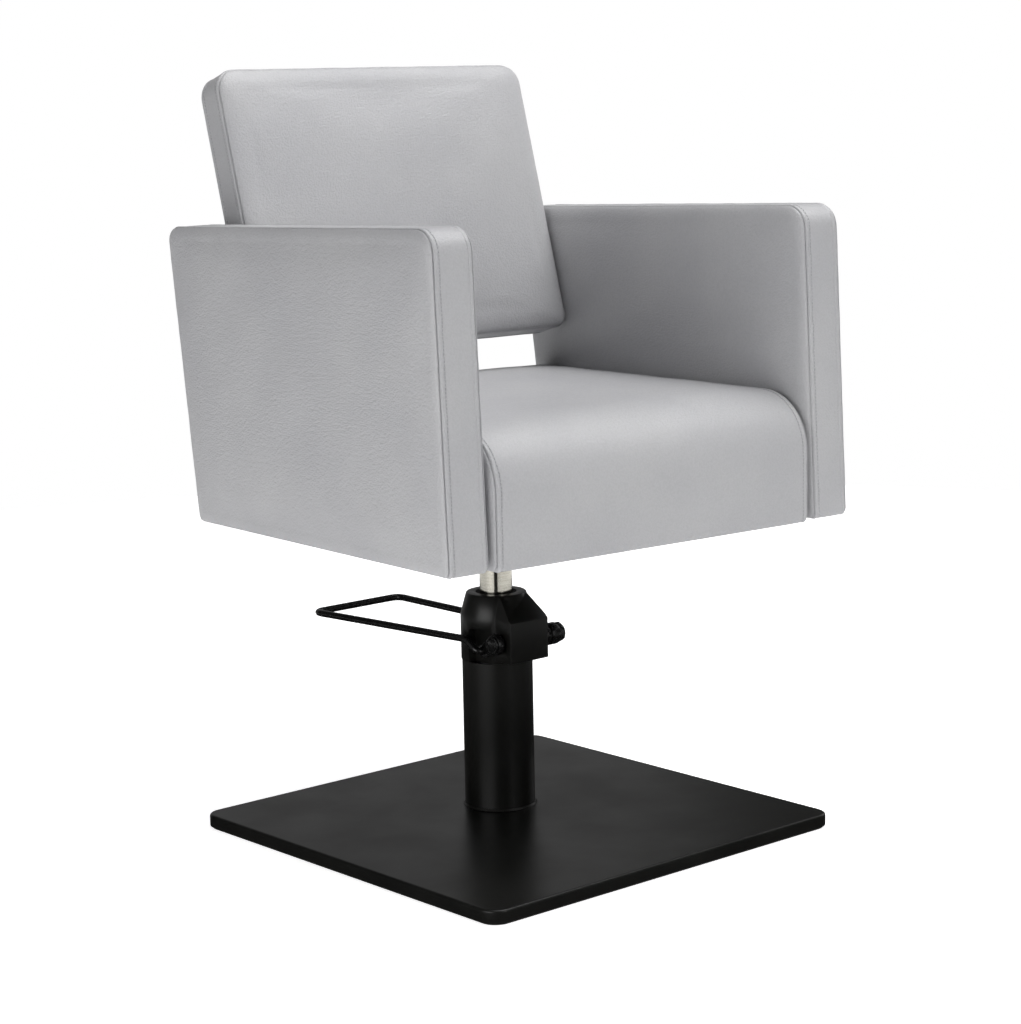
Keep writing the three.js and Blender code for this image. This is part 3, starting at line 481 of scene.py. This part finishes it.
# Painted shade: the base colour is darkened by up to 7% in the hollows between the pebbles, where shade
# would fall.
pebble_hollow_shade = add(tree, "MapRange", {"From Min": 0.1, "From Max": 0.75, "To Min": 1.0, "To Max": 0.93},
              [("Value", pebbles, "Distance")])
shaded = add(tree, "Mix", {"data_type": "RGBA", "blend_type": "MULTIPLY", 0: 1.0},
             [(6, tone, "Color"), (7, pebble_hollow_shade, "Result")])
sheen = add(tree, "MapRange", {"From Min": 0.3, "From Max": 0.7, "To Min": 0.38, "To Max": 0.5},
            [("Value", creases, "Fac")])
shader = add(tree, "BsdfPrincipled", {"IOR": 1.53, "Specular IOR Level": 0.5},
             [("Base Color", shaded, 2), ("Roughness", sheen, "Result"),
              ("Normal", worked, "Normal")])
add(tree, "OutputMaterial", {}, [("Surface", shader, "BSDF")])

# Bonded polyester thread, dyed to match: each stitch catches a small highlight.
sewing_thread, tree, place = new_material("sewing_thread")
twist = add(tree, "TexNoise", {"Scale": per_mm(0.7)}, [("Vector", place, "Object")])
ply = add(tree, "Bump", {"Strength": 0.4, "Distance": 0.1 * MM}, [("Height", twist, "Fac")])
tone = add(tree, "ValToRGB", {"stops": [(0.3, linear("#8f8f93")), (0.7, linear("#a5a5a9"))]},
           [("Fac", twist, "Fac")])
shader = add(tree, "BsdfPrincipled", {"Roughness": 0.5, "IOR": 1.55},
             [("Base Color", tone, "Color"), ("Normal", ply, "Normal")])
add(tree, "OutputMaterial", {}, [("Surface", shader, "BSDF")])

TURN = 10  # steps round each corner of a cover's outline
SEAM_DEEP = 3.1  # how far the seam lies under the band
ROLL_WIDE = 3.4  # the faces roll over the foam's edge this much wider than deep
FACE_RINGS = [42, 33, 25.5, 19, 13.5]


def seam_rows(roll):
    """The cover's section from a face, over its rolled edge, into the seam and up to the band.

    Each row is (inset, depth, held or loose or between). The face rolls in by the depth roll. The
    folded edge of the band stands proud beside the seam, and the stitches pull a groove next to it.
    """
    wide = ROLL_WIDE * roll
    rows = [(inset, 0.0, "loose") for inset in FACE_RINGS if inset > wide + 4]
    rows.append((1.2 + wide + 2.2, 0.02 * roll, "loose"))
    for degrees in (12, 27, 42, 57, 71, 83):
        bend = math.radians(degrees)
        rows.append((1.2 + wide * (1 - math.sin(bend)), roll * (1 - math.cos(bend)), "between"))
    rows.append((SEAM_DEEP, roll + 0.3, "between"))
    rows.append((SEAM_DEEP + 0.3, roll + 0.75, "held"))
    folded = [(1.7, 1.15), (0.6, 1.45), (-0.1, 2.2), (-0.4, 3.4), (-0.4, 4.8), (0.0, 6.1)]
    rows += [(inset, roll + depth, "between") for inset, depth in folded]
    rows.append((0.75, roll + 7.1, "held"))
    rows += [(0.25, roll + 8.0, "between"), (0.0, roll + 9.4, "between"),
             (0.0, roll + 12.5, "loose")]
    return rows


STITCH_ROW = -4  # the groove's place in a list of seam rows, counted from its end


def cover_mesh(rings, marks):
    """A closed cover from rings of points, each end filled by a net between four marked points."""
    count = len(rings[0])
    verts = [np.concatenate(rings)]
    faces = ring_faces(len(rings), count, closed_ends=False)
    made = len(rings) * count
    a, b, c, _ = marks
    wide = b - a
    tall = c - b
    for ring, first in ((rings[0], 0), (rings[-1], (len(rings) - 1) * count)):
        lower = [(a + s) % count for s in range(wide + 1)]
        right = [(b + t) % count for t in range(tall + 1)]
        upper = [(c + wide - s) % count for s in range(wide + 1)]
        left = [(a - t) % count for t in range(tall + 1)]
        table = np.empty((wide + 1, tall + 1), int)
        table[:, 0] = lower
        table[:, -1] = upper
        table[0, :] = left
        table[-1, :] = right
        table += first
        s = (np.arange(wide + 1) / wide)[:, None, None]
        t = (np.arange(tall + 1) / tall)[None, :, None]
        net = ((1 - t) * ring[lower][:, None] + t * ring[upper][:, None]
               + (1 - s) * ring[left][None] + s * ring[right][None]
               - (1 - s) * (1 - t) * ring[lower[0]] - s * (1 - t) * ring[lower[-1]]
               - s * t * ring[upper[-1]] - (1 - s) * t * ring[upper[0]])
        inside = net[1:-1, 1:-1].reshape(-1, 3)
        table[1:-1, 1:-1] = made + np.arange(len(inside)).reshape(wide - 1, tall - 1)
        made += len(inside)
        verts.append(inside)
        order = -1 if first == 0 else 1
        for i in range(wide):
            for j in range(tall):
                quad = (table[i, j], table[i + 1, j], table[i + 1, j + 1], table[i, j + 1])
                faces.append(quad[::order])
    return np.concatenate(verts), [tuple(int(v) for v in face) for face in faces]


FRAMES = 20  # steps of the simulation
PRESSURE = 4.0
TAKE_UP = -0.003  # a negative shrink: the sewn leatherette has this share to spare
SETTLE_ROUNDS = 25
SETTLE_SHARE = 0.6


def swell(verts, faces, held):
    """How far each point of a cover moves when its foam pushes out against the held seams."""
    form = new_piece("padding", verts, faces, leatherette)
    group = form.vertex_groups.new(name="held")
    group.add([int(i) for i in held], 1.0, "REPLACE")
    cloth = form.modifiers.new("padding", "CLOTH")
    cloth.settings.use_pressure = True
    cloth.settings.uniform_pressure_force = PRESSURE
    cloth.settings.vertex_group_mass = "held"
    cloth.settings.effector_weights.gravity = 0
    cloth.settings.quality = 4
    cloth.settings.shrink_min = TAKE_UP
    cloth.point_cache.frame_start = 1
    cloth.point_cache.frame_end = FRAMES
    for number in range(1, FRAMES + 1):
        bpy.context.scene.frame_set(number)
    result = form.evaluated_get(bpy.context.evaluated_depsgraph_get())
    moved = np.empty(len(verts) * 3, np.float32)
    result.data.vertices.foreach_get("co", moved)
    bpy.data.objects.remove(form)
    bpy.context.scene.frame_set(1)
    return moved.reshape(-1, 3) / MM - verts


def settled(amount, verts, faces, held):
    """The same swelling, evened out as thick foam evens it under the leatherette."""
    quads = np.array(faces)
    starts = np.concatenate([quads[:, k] for k in range(4)] * 2)
    ends = np.concatenate([quads[:, k - 1] for k in range(4)] + [quads[:, k - 3] for k in range(4)])
    share = 1 / np.linalg.norm(verts[starts] - verts[ends], axis=1)
    whole = np.bincount(starts, share, len(verts))
    for _ in range(SETTLE_ROUNDS):
        around = np.bincount(starts, share * amount[ends], len(verts)) / whole
        amount = (1 - SETTLE_SHARE) * amount + SETTLE_SHARE * around
        amount[held] = 0
    return amount


def normals_of(verts, faces):
    """The direction in which each point of a cover faces."""
    quads = np.array(faces)
    across = np.cross(verts[quads[:, 2]] - verts[quads[:, 0]], verts[quads[:, 3]] - verts[quads[:, 1]])
    total = np.zeros_like(verts)
    for k in range(4):
        np.add.at(total, quads[:, k], across)
    centre = (verts.max(0) + verts.min(0)) / 2
    if ((verts - centre) * total).sum() < 0:
        total = -total
    return total / np.maximum(np.linalg.norm(total, axis=1)[:, None], 1e-9)


def soft_noise(points, size, shift):
    """Smooth noise with features of the given size in millimetres, from -1 to 1."""
    return np.array([noise.noise(Vector((p[0] / size + shift, p[1] / size, p[2] / size)))
                     for p in points])


def stitches(path, outward, name, pitch=4.2, length=3.2, thickness=0.42):
    """A row of lockstitches along a closed line: each is a short thread that dips at both ends."""
    closed = np.concatenate([path, path[:1]])
    facing = np.concatenate([outward, outward[:1]])
    along = np.concatenate([[0], np.cumsum(np.linalg.norm(np.diff(closed, axis=0), axis=1))])
    count = int(along[-1] / pitch)
    verts = []
    faces = []
    places = [-0.5, -0.42, -0.15, 0.15, 0.42, 0.5]
    rises = [-0.5, 0.05, 0.3, 0.3, 0.05, -0.5]
    widths = [0.45, 1.0, 1.0, 1.0, 1.0, 0.45]
    sides = 6
    for number in range(count):
        middle = (number + 0.5) * along[-1] / count
        spot = [np.interp(middle, along, closed[:, k]) for k in range(3)]
        before = [np.interp(middle - 1, along, closed[:, k]) for k in range(3)]
        after = [np.interp(middle + 1, along, closed[:, k]) for k in range(3)]
        up = np.array([np.interp(middle, along, facing[:, k]) for k in range(3)])
        way = np.array(after) - np.array(before)
        way /= np.linalg.norm(way)
        up = up - way * (up @ way)
        up /= np.linalg.norm(up)
        side = np.cross(way, up)
        first = len(verts)
        for where, rise, width in zip(places, rises, widths):
            centre = np.array(spot) + way * where * length + up * rise
            for i in range(sides):
                angle = 2 * math.pi * i / sides
                verts.append(centre + thickness * width
                             * (math.cos(angle) * side + math.sin(angle) * up))
        faces += [tuple(first + v for v in face) for face in ring_faces(len(places), sides)]
    return new_piece(name, verts, faces, sewing_thread)


def ramp(distance, start, reach):
    """0 up to start, then rising evenly to 1 over reach."""
    return np.clip((distance - start) / reach, 0, 1)


def foam_swelling(rows, rings, marks, travel, caps, size):
    """How far each of the size points of a cover stands out over its foam.

    The simulation runs on the rows that aren't fine seam detail. The rows between them share its
    swelling by their travel, which is each row's distance along the section.
    """
    count = len(rings[0])
    kept = [k for k, row in enumerate(rows) if row[2] != "between"]
    verts, faces = cover_mesh([rings[k] for k in kept], marks)
    held = [n * count + i for n, k in enumerate(kept) if rows[k][2] == "held" for i in range(count)]
    move = swell(verts, faces, held)
    facing = normals_of(verts, faces)
    outward = settled(np.maximum((move * facing).sum(1), 0), verts, faces, held)
    limit = caps(verts)
    outward = limit * np.tanh(outward / np.maximum(limit, 1e-6))
    grid = outward[:len(kept) * count].reshape(len(kept), count)
    spots = [travel[k] for k in kept]
    amount = np.empty(size)
    for k in range(len(rows)):
        after = min(int(np.searchsorted(spots, travel[k])), len(kept) - 1)
        before = max(after - 1, 0)
        gap = spots[after] - spots[before]
        share = (travel[k] - spots[before]) / gap if gap else 0.0
        share = share * share * (3 - 2 * share)
        amount[k * count:(k + 1) * count] = (1 - share) * grid[before] + share * grid[after]
    amount[len(rows) * count:] = outward[len(kept) * count:]
    return amount


PUCKER_SIZE = 17
PUCKER_HIGH = 0.5
PUCKER_PLACE = 9  # puckers are highest this far from the stitches, and fade over PUCKER_REACH
PUCKER_REACH = 13
LUMP_SIZE = 75
LUMP_HIGH = 0.9
LUMP_REACH = 30
FACE_MIDDLE = 60.0  # the nets inside the faces count as this far from a seam


def foam_unevenness(verts, rows, count, travel, caps, seed):
    """Puckers that the stitches pull into a cover of rows of count points, and lumps of its foam."""
    distance = np.full(len(verts), FACE_MIDDLE)
    for k in range(len(rows)):
        nearest = min(abs(travel[k] - travel[s]) for s, row in enumerate(rows) if row[2] == "held")
        distance[k * count:(k + 1) * count] = nearest
    room = np.minimum(caps(verts) / 3, 1.0)
    fading = np.exp(-((distance - PUCKER_PLACE) / PUCKER_REACH) ** 2)
    puckers = soft_noise(verts, PUCKER_SIZE, seed) * fading * PUCKER_HIGH
    growing = np.minimum(distance / LUMP_REACH, 1.0)
    lumps = soft_noise(verts, LUMP_SIZE, seed + 9) * growing * LUMP_HIGH
    return (puckers + lumps) * room * (distance > 0.5)


def upholster(name, corners, span, place, rolls, runs, spacing, start_in, caps, seed, sewn):
    """One padded cover: two faces, a band between them, two seams, and the stitches of those sewn.

    corners is the outline that the band follows, span the two faces' places across it, and place
    puts (u, v, across) into the chair. start_in is how far inside the CAD solid the cover starts,
    for its faces and its band. caps(points) says how far points may swell.
    """
    near, far = span
    face_in, band_in = start_in
    near += face_in
    far -= face_in
    first = seam_rows(rolls[0])
    second = seam_rows(rolls[1])
    rows = [(inset, near + depth, kind) for inset, depth, kind in first]
    begin = near + first[-1][1]
    end = far - second[-1][1]
    steps = max(2, round((end - begin) / spacing))
    rows += [(0.0, begin + (end - begin) * k / steps, "loose") for k in range(1, steps)]
    rows += [(inset, far - depth, kind) for inset, depth, kind in reversed(second)]
    count = sum(runs) + TURN * len(corners)
    half = TURN // 2
    marks = [half, half + TURN + runs[0], half + 2 * TURN + runs[0] + runs[1],
             half + 3 * TURN + sum(runs[:3])]
    rings = []
    for inset, across, _ in rows:
        flat = outline(corners, inset + band_in, runs, TURN)
        rings.append(place(flat[:, 0], flat[:, 1], np.full(count, across)))
    travel = [0.0]
    for before, after in zip(rows, rows[1:]):
        travel.append(travel[-1] + math.hypot(after[0] - before[0], after[1] - before[1]))

    verts, faces = cover_mesh(rings, marks)
    facing = normals_of(verts, faces)
    amount = foam_swelling(rows, rings, marks, travel, caps, len(verts))
    amount += foam_unevenness(verts, rows, count, travel, caps, seed)
    verts = verts + facing * amount[:, None]

    cover = new_piece(name, verts, faces, leatherette)
    smoothing = cover.modifiers.new("smoothing", "SUBSURF")
    smoothing.levels = 1
    smoothing.render_levels = 1
    threads = []
    places = {"first": len(first) + STITCH_ROW, "second": len(rows) - len(second) - STITCH_ROW - 1}
    for label in sewn:
        row = places[label]
        line = slice(row * count, (row + 1) * count)
        threads.append(stitches(verts[line] + facing[line] * 0.15, facing[line],
                                f"{name}_{label}_stitching"))
    return cover, threads


def fasten(cover, threads, fill, *stands_for):
    """Puts a cover and its stitches on the seat in place of CAD nodes. The share fill is not used."""
    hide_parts(*stands_for)
    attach(cover, "seat")
    for thread in threads:
        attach(thread, "seat")


low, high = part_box("seat_cushion")
seat_low = low / MM
seat_high = high / MM
WATERFALL = 70  # the radius over which the top rolls down into the front
SEAT_EDGE = 14
SEAT_FOOT = 6
SEAT_REAR_FALL = 3
SEAT_FRONT_RISE = 1
SEAT_RAISE = 4.6  # the cover is turned in under the box, above the black cloth
SEAT_RIM = 13
TURN_IN = 3  # the turned-in edge rises over this width
SEAT_SWELL = 6.0
LEAST_SWELL = 0.3
seat_corners = [(seat_low.y, seat_low.z, SEAT_FOOT), (seat_high.y, seat_low.z, SEAT_FOOT),
                (seat_high.y, seat_high.z - SEAT_REAR_FALL, SEAT_EDGE),
                (seat_low.y, seat_high.z + SEAT_FRONT_RISE, WATERFALL)]


def seat_place(u, v, across):
    """Side view and width into the chair, with the underside raised inside its rim."""
    under = ramp(seat_low.z + TURN_IN - v, 0, TURN_IN)
    inside = ramp(np.minimum(u - seat_low.y, seat_high.y - u), SEAT_RIM, TURN_IN)
    inside *= ramp(seat_high.x - np.abs(across), SEAT_RIM, TURN_IN)
    return np.stack([across, u, v + under * inside * SEAT_RAISE], 1)


def seat_caps(points):
    """The seat swells on top, in front and behind, but not against the arms or underneath."""
    side = ramp(seat_high.x - np.abs(points[:, 0]), 3, 12)
    above = ramp(points[:, 2] - seat_low.z, 2, 45)
    return LEAST_SWELL + SEAT_SWELL * side * above


seat_cover, seat_threads = upholster(
    "seat_cushion_cover", seat_corners, (seat_low.x, seat_high.x), seat_place, (5.0, 5.0),
    (50, 14, 50, 14), 11, (0.4, 0.5), seat_caps, 3.0, ("first", "second"))
fasten(seat_cover, seat_threads, 0.85, "seat_cushion")


# ---- black cloth underneath ----------------------------------------------------------------------
# Under the box, and under each arm, a spunbonded black cloth hides the turned-in leatherette. It is
# stretched flat over the wood and held along its edges by wire staples.

# Spunbonded polypropylene: a dull black felt, its bond points in rows 1.5 mm apart.
spunbond_cloth, tree, place = new_material("spunbond_cloth")
bonds = add(tree, "TexVoronoi", {"Scale": per_mm(1.5), "Randomness": 0.25},
            [("Vector", place, "Object")])
dents = add(tree, "Bump", {"Strength": 0.5, "Distance": 0.15 * MM}, [("Height", bonds, "Distance")])
tone = add(tree, "ValToRGB", {"stops": [(0.1, linear("#131314")), (0.6, linear("#2a2a2c"))]},
           [("Fac", bonds, "Distance")])
shader = add(tree, "BsdfPrincipled", {"Roughness": 0.9, "IOR": 1.49, "Sheen Weight": 0.2},
             [("Base Color", tone, "Color"), ("Normal", dents, "Normal")])
add(tree, "OutputMaterial", {}, [("Surface", shader, "BSDF")])

CLOTH_STEP = 12
CLOTH_CUT = 0.5  # each edge stops this far inside the CAD sheet
CLOTH_THICK = 0.6
CLOTH_SLACK = 0.35
STAPLE_WIDE = 11
STAPLE_WIRE = 0.45
STAPLE_PITCH = 42
STAPLE_INSET = 8
STAPLE_BEND = 0.8
STAPLE_LEG = 1.2


def dust_cloth(name, node, opening=0.0):
    """A thin cloth in the place of a CAD sheet, slack between its staples, and the staples."""
    low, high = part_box(node)
    low = low / MM
    high = high / MM
    wide = max(3, round((high.x - low.x) / CLOTH_STEP))
    long = round((high.y - low.y) / CLOTH_STEP)
    across = np.linspace(low.x + CLOTH_CUT, high.x - CLOTH_CUT, wide + 1)
    down = np.linspace(low.y + CLOTH_CUT, high.y - CLOTH_CUT, long + 1)
    if opening:
        across = np.sort(np.append(across, [-opening, opening]))
        down = np.sort(np.append(down, [-opening, opening]))
    level = (low.z + high.z) / 2
    verts = []
    for x in across:
        for y in down:
            rim = min(x - low.x, high.x - x, y - low.y, high.y - y)
            if opening:
                rim = min(rim, max(abs(x), abs(y)) - opening)
            wave = CLOTH_SLACK * noise.noise(Vector((x / 40, y / 40, 0)))
            verts.append((x, y, level + wave * min(max(rim, 0) / 20, 1)))
    faces = []
    for i in range(len(across) - 1):
        for j in range(len(down) - 1):
            middle = max(abs(across[i] + across[i + 1]), abs(down[j] + down[j + 1])) / 2
            if middle < opening:
                continue
            corner = i * len(down) + j
            faces.append((corner, corner + len(down), corner + len(down) + 1, corner + 1))
    used = sorted({v for face in faces for v in face})
    number = {v: k for k, v in enumerate(used)}
    faces = [tuple(number[v] for v in face) for face in faces]
    cloth = new_piece(name, [verts[v] for v in used], faces, spunbond_cloth)
    body = cloth.modifiers.new("body", "SOLIDIFY")
    body.thickness = CLOTH_THICK * MM
    body.offset = 0
    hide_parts(node)
    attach(cloth, "seat")
    inset = min(STAPLE_INSET, (high.x - low.x) / 4)
    wires = []
    for side in (low.x + inset, high.x - inset):
        count = int((high.y - low.y) / STAPLE_PITCH)
        for k in range(count):
            y = low.y + (k + 0.5) * (high.y - low.y) / count
            wires.append(((side, y - STAPLE_WIDE / 2), (side, y + STAPLE_WIDE / 2)))
    if opening:
        for edge in (low.y + inset, high.y - inset):
            count = int((high.x - low.x) / STAPLE_PITCH)
            for k in range(count):
                x = low.x + (k + 0.5) * (high.x - low.x) / count
                wires.append(((x - STAPLE_WIDE / 2, edge), (x + STAPLE_WIDE / 2, edge)))
    verts = []
    faces = []
    for start, end in wires:
        begin = len(verts)
        crown = level - STAPLE_BEND
        leg = level + STAPLE_LEG
        path = np.array([(*start, leg), (*start, crown), (*end, crown), (*end, leg)])
        path = bent_rod(path, [STAPLE_BEND, STAPLE_BEND], 3)
        verts += tube(path, STAPLE_WIRE, 6)
        faces += [tuple(begin + v for v in face) for face in ring_faces(len(path), 6)]
    staples = new_piece(f"{name}_staples", verts, faces, zinc_plated_steel)
    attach(staples, "seat")


PLATE_OPENING = 104  # half the width of the opening round the seat's plate

dust_cloth("seat_dust_cloth", "seat_underlining", PLATE_OPENING)
for side in ("left", "right"):
    dust_cloth(f"{side}_arm_dust_strip", f"{side}_arm_bottom_strip")


# ---- arms ----------------------------------------------------------------------------------------
# Each arm is a plywood board padded with foam and sewn into leatherette: an inner and an outer panel,
# and a border as wide as the arm that runs up its front, over the top and down the back. The border
# is topstitched beside its left-hand seam only.

ARM_FRONT_LEAN = 18  # the front edge leans back by this much from foot to top
ARM_BACK_LEAN = 50
ARM_TOP_FALL = 17
ARM_ROUND_FRONT = 28
ARM_ROUND_BACK = 18
ARM_FOOT = 6
ARM_RAISE = 4.4
ARM_RIM = 10
ARM_HALF_OPENING = 15
ARM_BORDER_SWELL = 2.4
ARM_OUTER_SWELL = 4.0
ARM_INNER_SWELL = 4.2

for side, way in (("left", -1), ("right", 1)):
    low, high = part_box(f"{side}_arm_pad")
    low = low / MM
    high = high / MM
    corners = [(low.y, low.z, ARM_FOOT), (high.y - ARM_BACK_LEAN, low.z, ARM_FOOT),
               (high.y, high.z - ARM_TOP_FALL, ARM_ROUND_BACK),
               (low.y + ARM_FRONT_LEAN, high.z, ARM_ROUND_FRONT)]
    inner = min(abs(low.x), abs(high.x))
    outer = max(abs(low.x), abs(high.x))
    middle = (low.x + high.x) / 2

    def arm_place(u, v, across):
        """Side view and thickness into the chair, the underside raised over the cloth strip."""
        under = ramp(low.z + TURN_IN - v, 0, TURN_IN)
        inside = ramp(np.minimum(u - low.y, high.y - ARM_BACK_LEAN - u), ARM_RIM, TURN_IN)
        inside *= ramp(ARM_HALF_OPENING - np.abs(across - middle), 0, TURN_IN)
        return np.stack([across, u, v + under * inside * ARM_RAISE], 1)

    def arm_caps(points):
        """The panels swell more than the border, and not where the seat lies against the arm."""
        across = np.abs(points[:, 0])
        outside = ramp(across - outer, -16, 8)
        inside = ramp(inner + 16 - across, 0, 8)
        free = ramp(points[:, 2] - seat_high.z, 4, 40)
        above = ramp(points[:, 2] - low.z, 2, 40)
        swelling = (ARM_BORDER_SWELL * (1 - outside - inside) + ARM_OUTER_SWELL * outside
                    + ARM_INNER_SWELL * inside * free)
        return LEAST_SWELL + swelling * above

    arm_cover, arm_threads = upholster(
        f"{side}_arm_cover", corners, (low.x, high.x), arm_place,
        (4.0, 5.5) if side == "left" else (5.5, 4.0), (50, 34, 50, 34), 8, (0.2, -0.8), arm_caps,
        20.0 + 10 * way, ("first",))
    fasten(arm_cover, arm_threads, 0.9, f"{side}_arm_pad")


# ---- back ----------------------------------------------------------------------------------------
# The back is a boxed cushion on a plywood frame, bolted between the arms so that it leans. Its front
# panel is full and rolls over into the seam, and a flatter panel closes its rear.

BACK_LEAN = math.radians(16.3)
BACK_FOOT_Y = 132.5
BACK_FOOT_Z = 601
BACK_HEIGHT = 359
BACK_THICK = 57
BACK_ROUND_TOP = 28
BACK_ROUND_FOOT = 18
BACK_SWELL = 2.6
BACK_FRONT_SWELL = 5.0  # what the front panel adds to it

low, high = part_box("back_cushion")
back_half = high.x / MM
corners = [(-back_half, 0, BACK_ROUND_FOOT), (back_half, 0, BACK_ROUND_FOOT),
           (back_half, BACK_HEIGHT, BACK_ROUND_TOP), (-back_half, BACK_HEIGHT, BACK_ROUND_TOP)]


def back_place(u, v, across):
    """Width, height up the slope and thickness into the chair."""
    return np.stack([u, across * math.cos(BACK_LEAN) + v * math.sin(BACK_LEAN) + BACK_FOOT_Y,
                     v * math.cos(BACK_LEAN) - across * math.sin(BACK_LEAN) + BACK_FOOT_Z], 1)


def back_caps(points):
    """The front panel swells most, the border and the rear panel less."""
    y = points[:, 1] - BACK_FOOT_Y
    z = points[:, 2] - BACK_FOOT_Z
    thickness = y * math.cos(BACK_LEAN) - z * math.sin(BACK_LEAN)
    return BACK_SWELL + BACK_FRONT_SWELL * ramp(16 - thickness, 0, 10)


back_cover, back_threads = upholster(
    "back_cushion_cover", corners, (0, BACK_THICK), back_place, (7.5, 4.0), (42, 30, 42, 30), 8,
    (1.2, 0.2), back_caps, 41.0, ("first", "second"))
fasten(back_cover, back_threads, 0.9, "back_cushion", "back_rear_panel")


# ---- floor, light and camera ---------------------------------------------------------------------
# The chair stands on a plain white floor inside a white surround. Large soft lights hang above it
# and stand on all four sides, as in a small studio.

# Matt white paint, lit so evenly that shadows on it stay faint.
white_paint, tree, place = new_material("white_paint")
dapple = add(tree, "TexNoise", {"Scale": per_mm(900)}, [("Vector", place, "Object")])
tone = add(tree, "ValToRGB", {"stops": [(0.3, linear("#f3f3f3")), (0.7, linear("#f7f7f7"))]},
           [("Fac", dapple, "Fac")])
shader = add(tree, "BsdfPrincipled", {"Roughness": 0.9, "Specular IOR Level": 0.0,
                                      "Emission Color": linear("#ffffff"),
                                      "Emission Strength": 0.8},
             [("Base Color", tone, "Color")])
add(tree, "OutputMaterial", {}, [("Surface", shader, "BSDF")])

# White cloth lit from behind: it shows as pure white and casts nothing on the chair.
lit_surround, tree, place = new_material("lit_surround")
shader = add(tree, "Emission", {"Color": linear("#ffffff"), "Strength": 1.0})
add(tree, "OutputMaterial", {}, [("Surface", shader, "Emission")])

FLOOR_RADIUS = 1700
MARGIN_RADIUS = 2700
CIRCLE_SIDES = 72


def circle(radius, height):
    """CIRCLE_SIDES points round the chair, at this radius and height."""
    angles = [2 * math.pi * i / CIRCLE_SIDES for i in range(CIRCLE_SIDES)]
    return [(radius * math.cos(angle), radius * math.sin(angle), height) for angle in angles]


floor = new_piece("floor", circle(FLOOR_RADIUS, 0), [tuple(range(CIRCLE_SIDES))], white_paint)
floor.visible_glossy = False

# The polished ram mirrors the floor beyond the base, except in one patch of the margin that is hidden
# from reflections: the dim world shows there instead, a painted dark reflection in the ram that stands
# in for a camera stand, which is not built.
faces = ring_faces(2, CIRCLE_SIDES, closed_ends=False)
ring = circle(FLOOR_RADIUS, 0) + circle(MARGIN_RADIUS, 0)
stand_reflection_faces = range(44, 49)
for name, kept in (("floor_margin", [face for i, face in enumerate(faces) if i not in stand_reflection_faces]),
                   ("floor_margin_unreflected", [faces[i] for i in stand_reflection_faces])):
    margin = new_piece(name, ring, kept, white_paint)
    # The patch hidden from reflections paints a dark band into the ram, in place of a camera stand's
    # reflection.
    margin.visible_glossy = name == "floor_margin"

SURROUND_RADIUS = 13000
verts = circle(SURROUND_RADIUS, -SURROUND_RADIUS) + circle(SURROUND_RADIUS, SURROUND_RADIUS)
surround = new_piece("surround", verts, ring_faces(2, CIRCLE_SIDES), lit_surround)
for ray in ("visible_diffuse", "visible_glossy", "visible_transmission", "visible_shadow"):
    setattr(surround, ray, False)

world = bpy.data.worlds.new("studio")
world.use_nodes = True
world.node_tree.nodes["Background"].inputs["Color"].default_value = linear("#ffffff")
world.node_tree.nodes["Background"].inputs["Strength"].default_value = 0.03
bpy.context.scene.world = world


def softbox(name, spot, aim, width, height, power):
    """A large soft light at spot, facing aim, in metres and watts."""
    lamp = bpy.data.lights.new(name, "AREA")
    lamp.shape = "RECTANGLE"
    lamp.size = width
    lamp.size_y = height
    lamp.energy = power
    holder = bpy.data.objects.new(name, lamp)
    holder.location = spot
    holder.rotation_mode = "QUATERNION"
    holder.rotation_quaternion = (Vector(aim) - Vector(spot)).to_track_quat("-Z", "Y")
    holder.visible_camera = False
    bpy.context.scene.collection.objects.link(holder)
    return holder


middle = (0.0, 0.0, 0.55)
softbox("overhead", (0.6, -0.6, 3.0), middle, 2.2, 2.6, 90)
softbox("front", (0.9, -3.4, 1.6), middle, 2.6, 2.2, 14)
softbox("left", (-3.3, -1.0, 0.85), middle, 2.4, 1.6, 46)
softbox("right", (3.4, 0.4, 1.7), middle, 2.2, 2.2, 16)
softbox("rear", (1.0, 3.4, 1.2), middle, 4.0, 2.2, 8)

# Two narrow strips near the floor only draw highlights, as thin lines down the column.
for name, spot in (("left_strip", (-2.6, 0.3, 0.7)), ("front_strip", (0.25, -2.8, 0.7))):
    softbox(name, spot, (0.0, 0.0, 0.3), 0.3, 1.3, 4).visible_diffuse = False

# The camera stands in front of the chair and to its left, just under the top of the back.
CAMERA_SPOT = (-1930.29, -2533.65, 930.35)
CAMERA_AZIMUTH = math.radians(-37.6632)
CAMERA_HEIGHT_ANGLE = math.radians(9.6044)
CAMERA_ROLL = math.radians(-1.1033)
CAMERA_LENS = 90.97

camera = bpy.data.objects.new("camera", bpy.data.cameras.new("camera"))
camera.data.sensor_width = 36
camera.data.lens = CAMERA_LENS
level = math.cos(CAMERA_HEIGHT_ANGLE)
backward = Vector((math.sin(CAMERA_AZIMUTH) * level, -math.cos(CAMERA_AZIMUTH) * level,
                   math.sin(CAMERA_HEIGHT_ANGLE)))
sideways = Vector((0, 0, 1)).cross(backward).normalized()
upward = backward.cross(sideways)
rolled = math.cos(CAMERA_ROLL) * sideways + math.sin(CAMERA_ROLL) * upward
upright = math.cos(CAMERA_ROLL) * upward - math.sin(CAMERA_ROLL) * sideways
turned_to = Matrix((rolled, upright, backward)).transposed().to_4x4()
camera.matrix_world = Matrix.Translation(Vector(CAMERA_SPOT) * MM) @ turned_to
bpy.context.scene.collection.objects.link(camera)
bpy.context.scene.camera = camera
bpy.context.scene.view_settings.view_transform = "Standard"
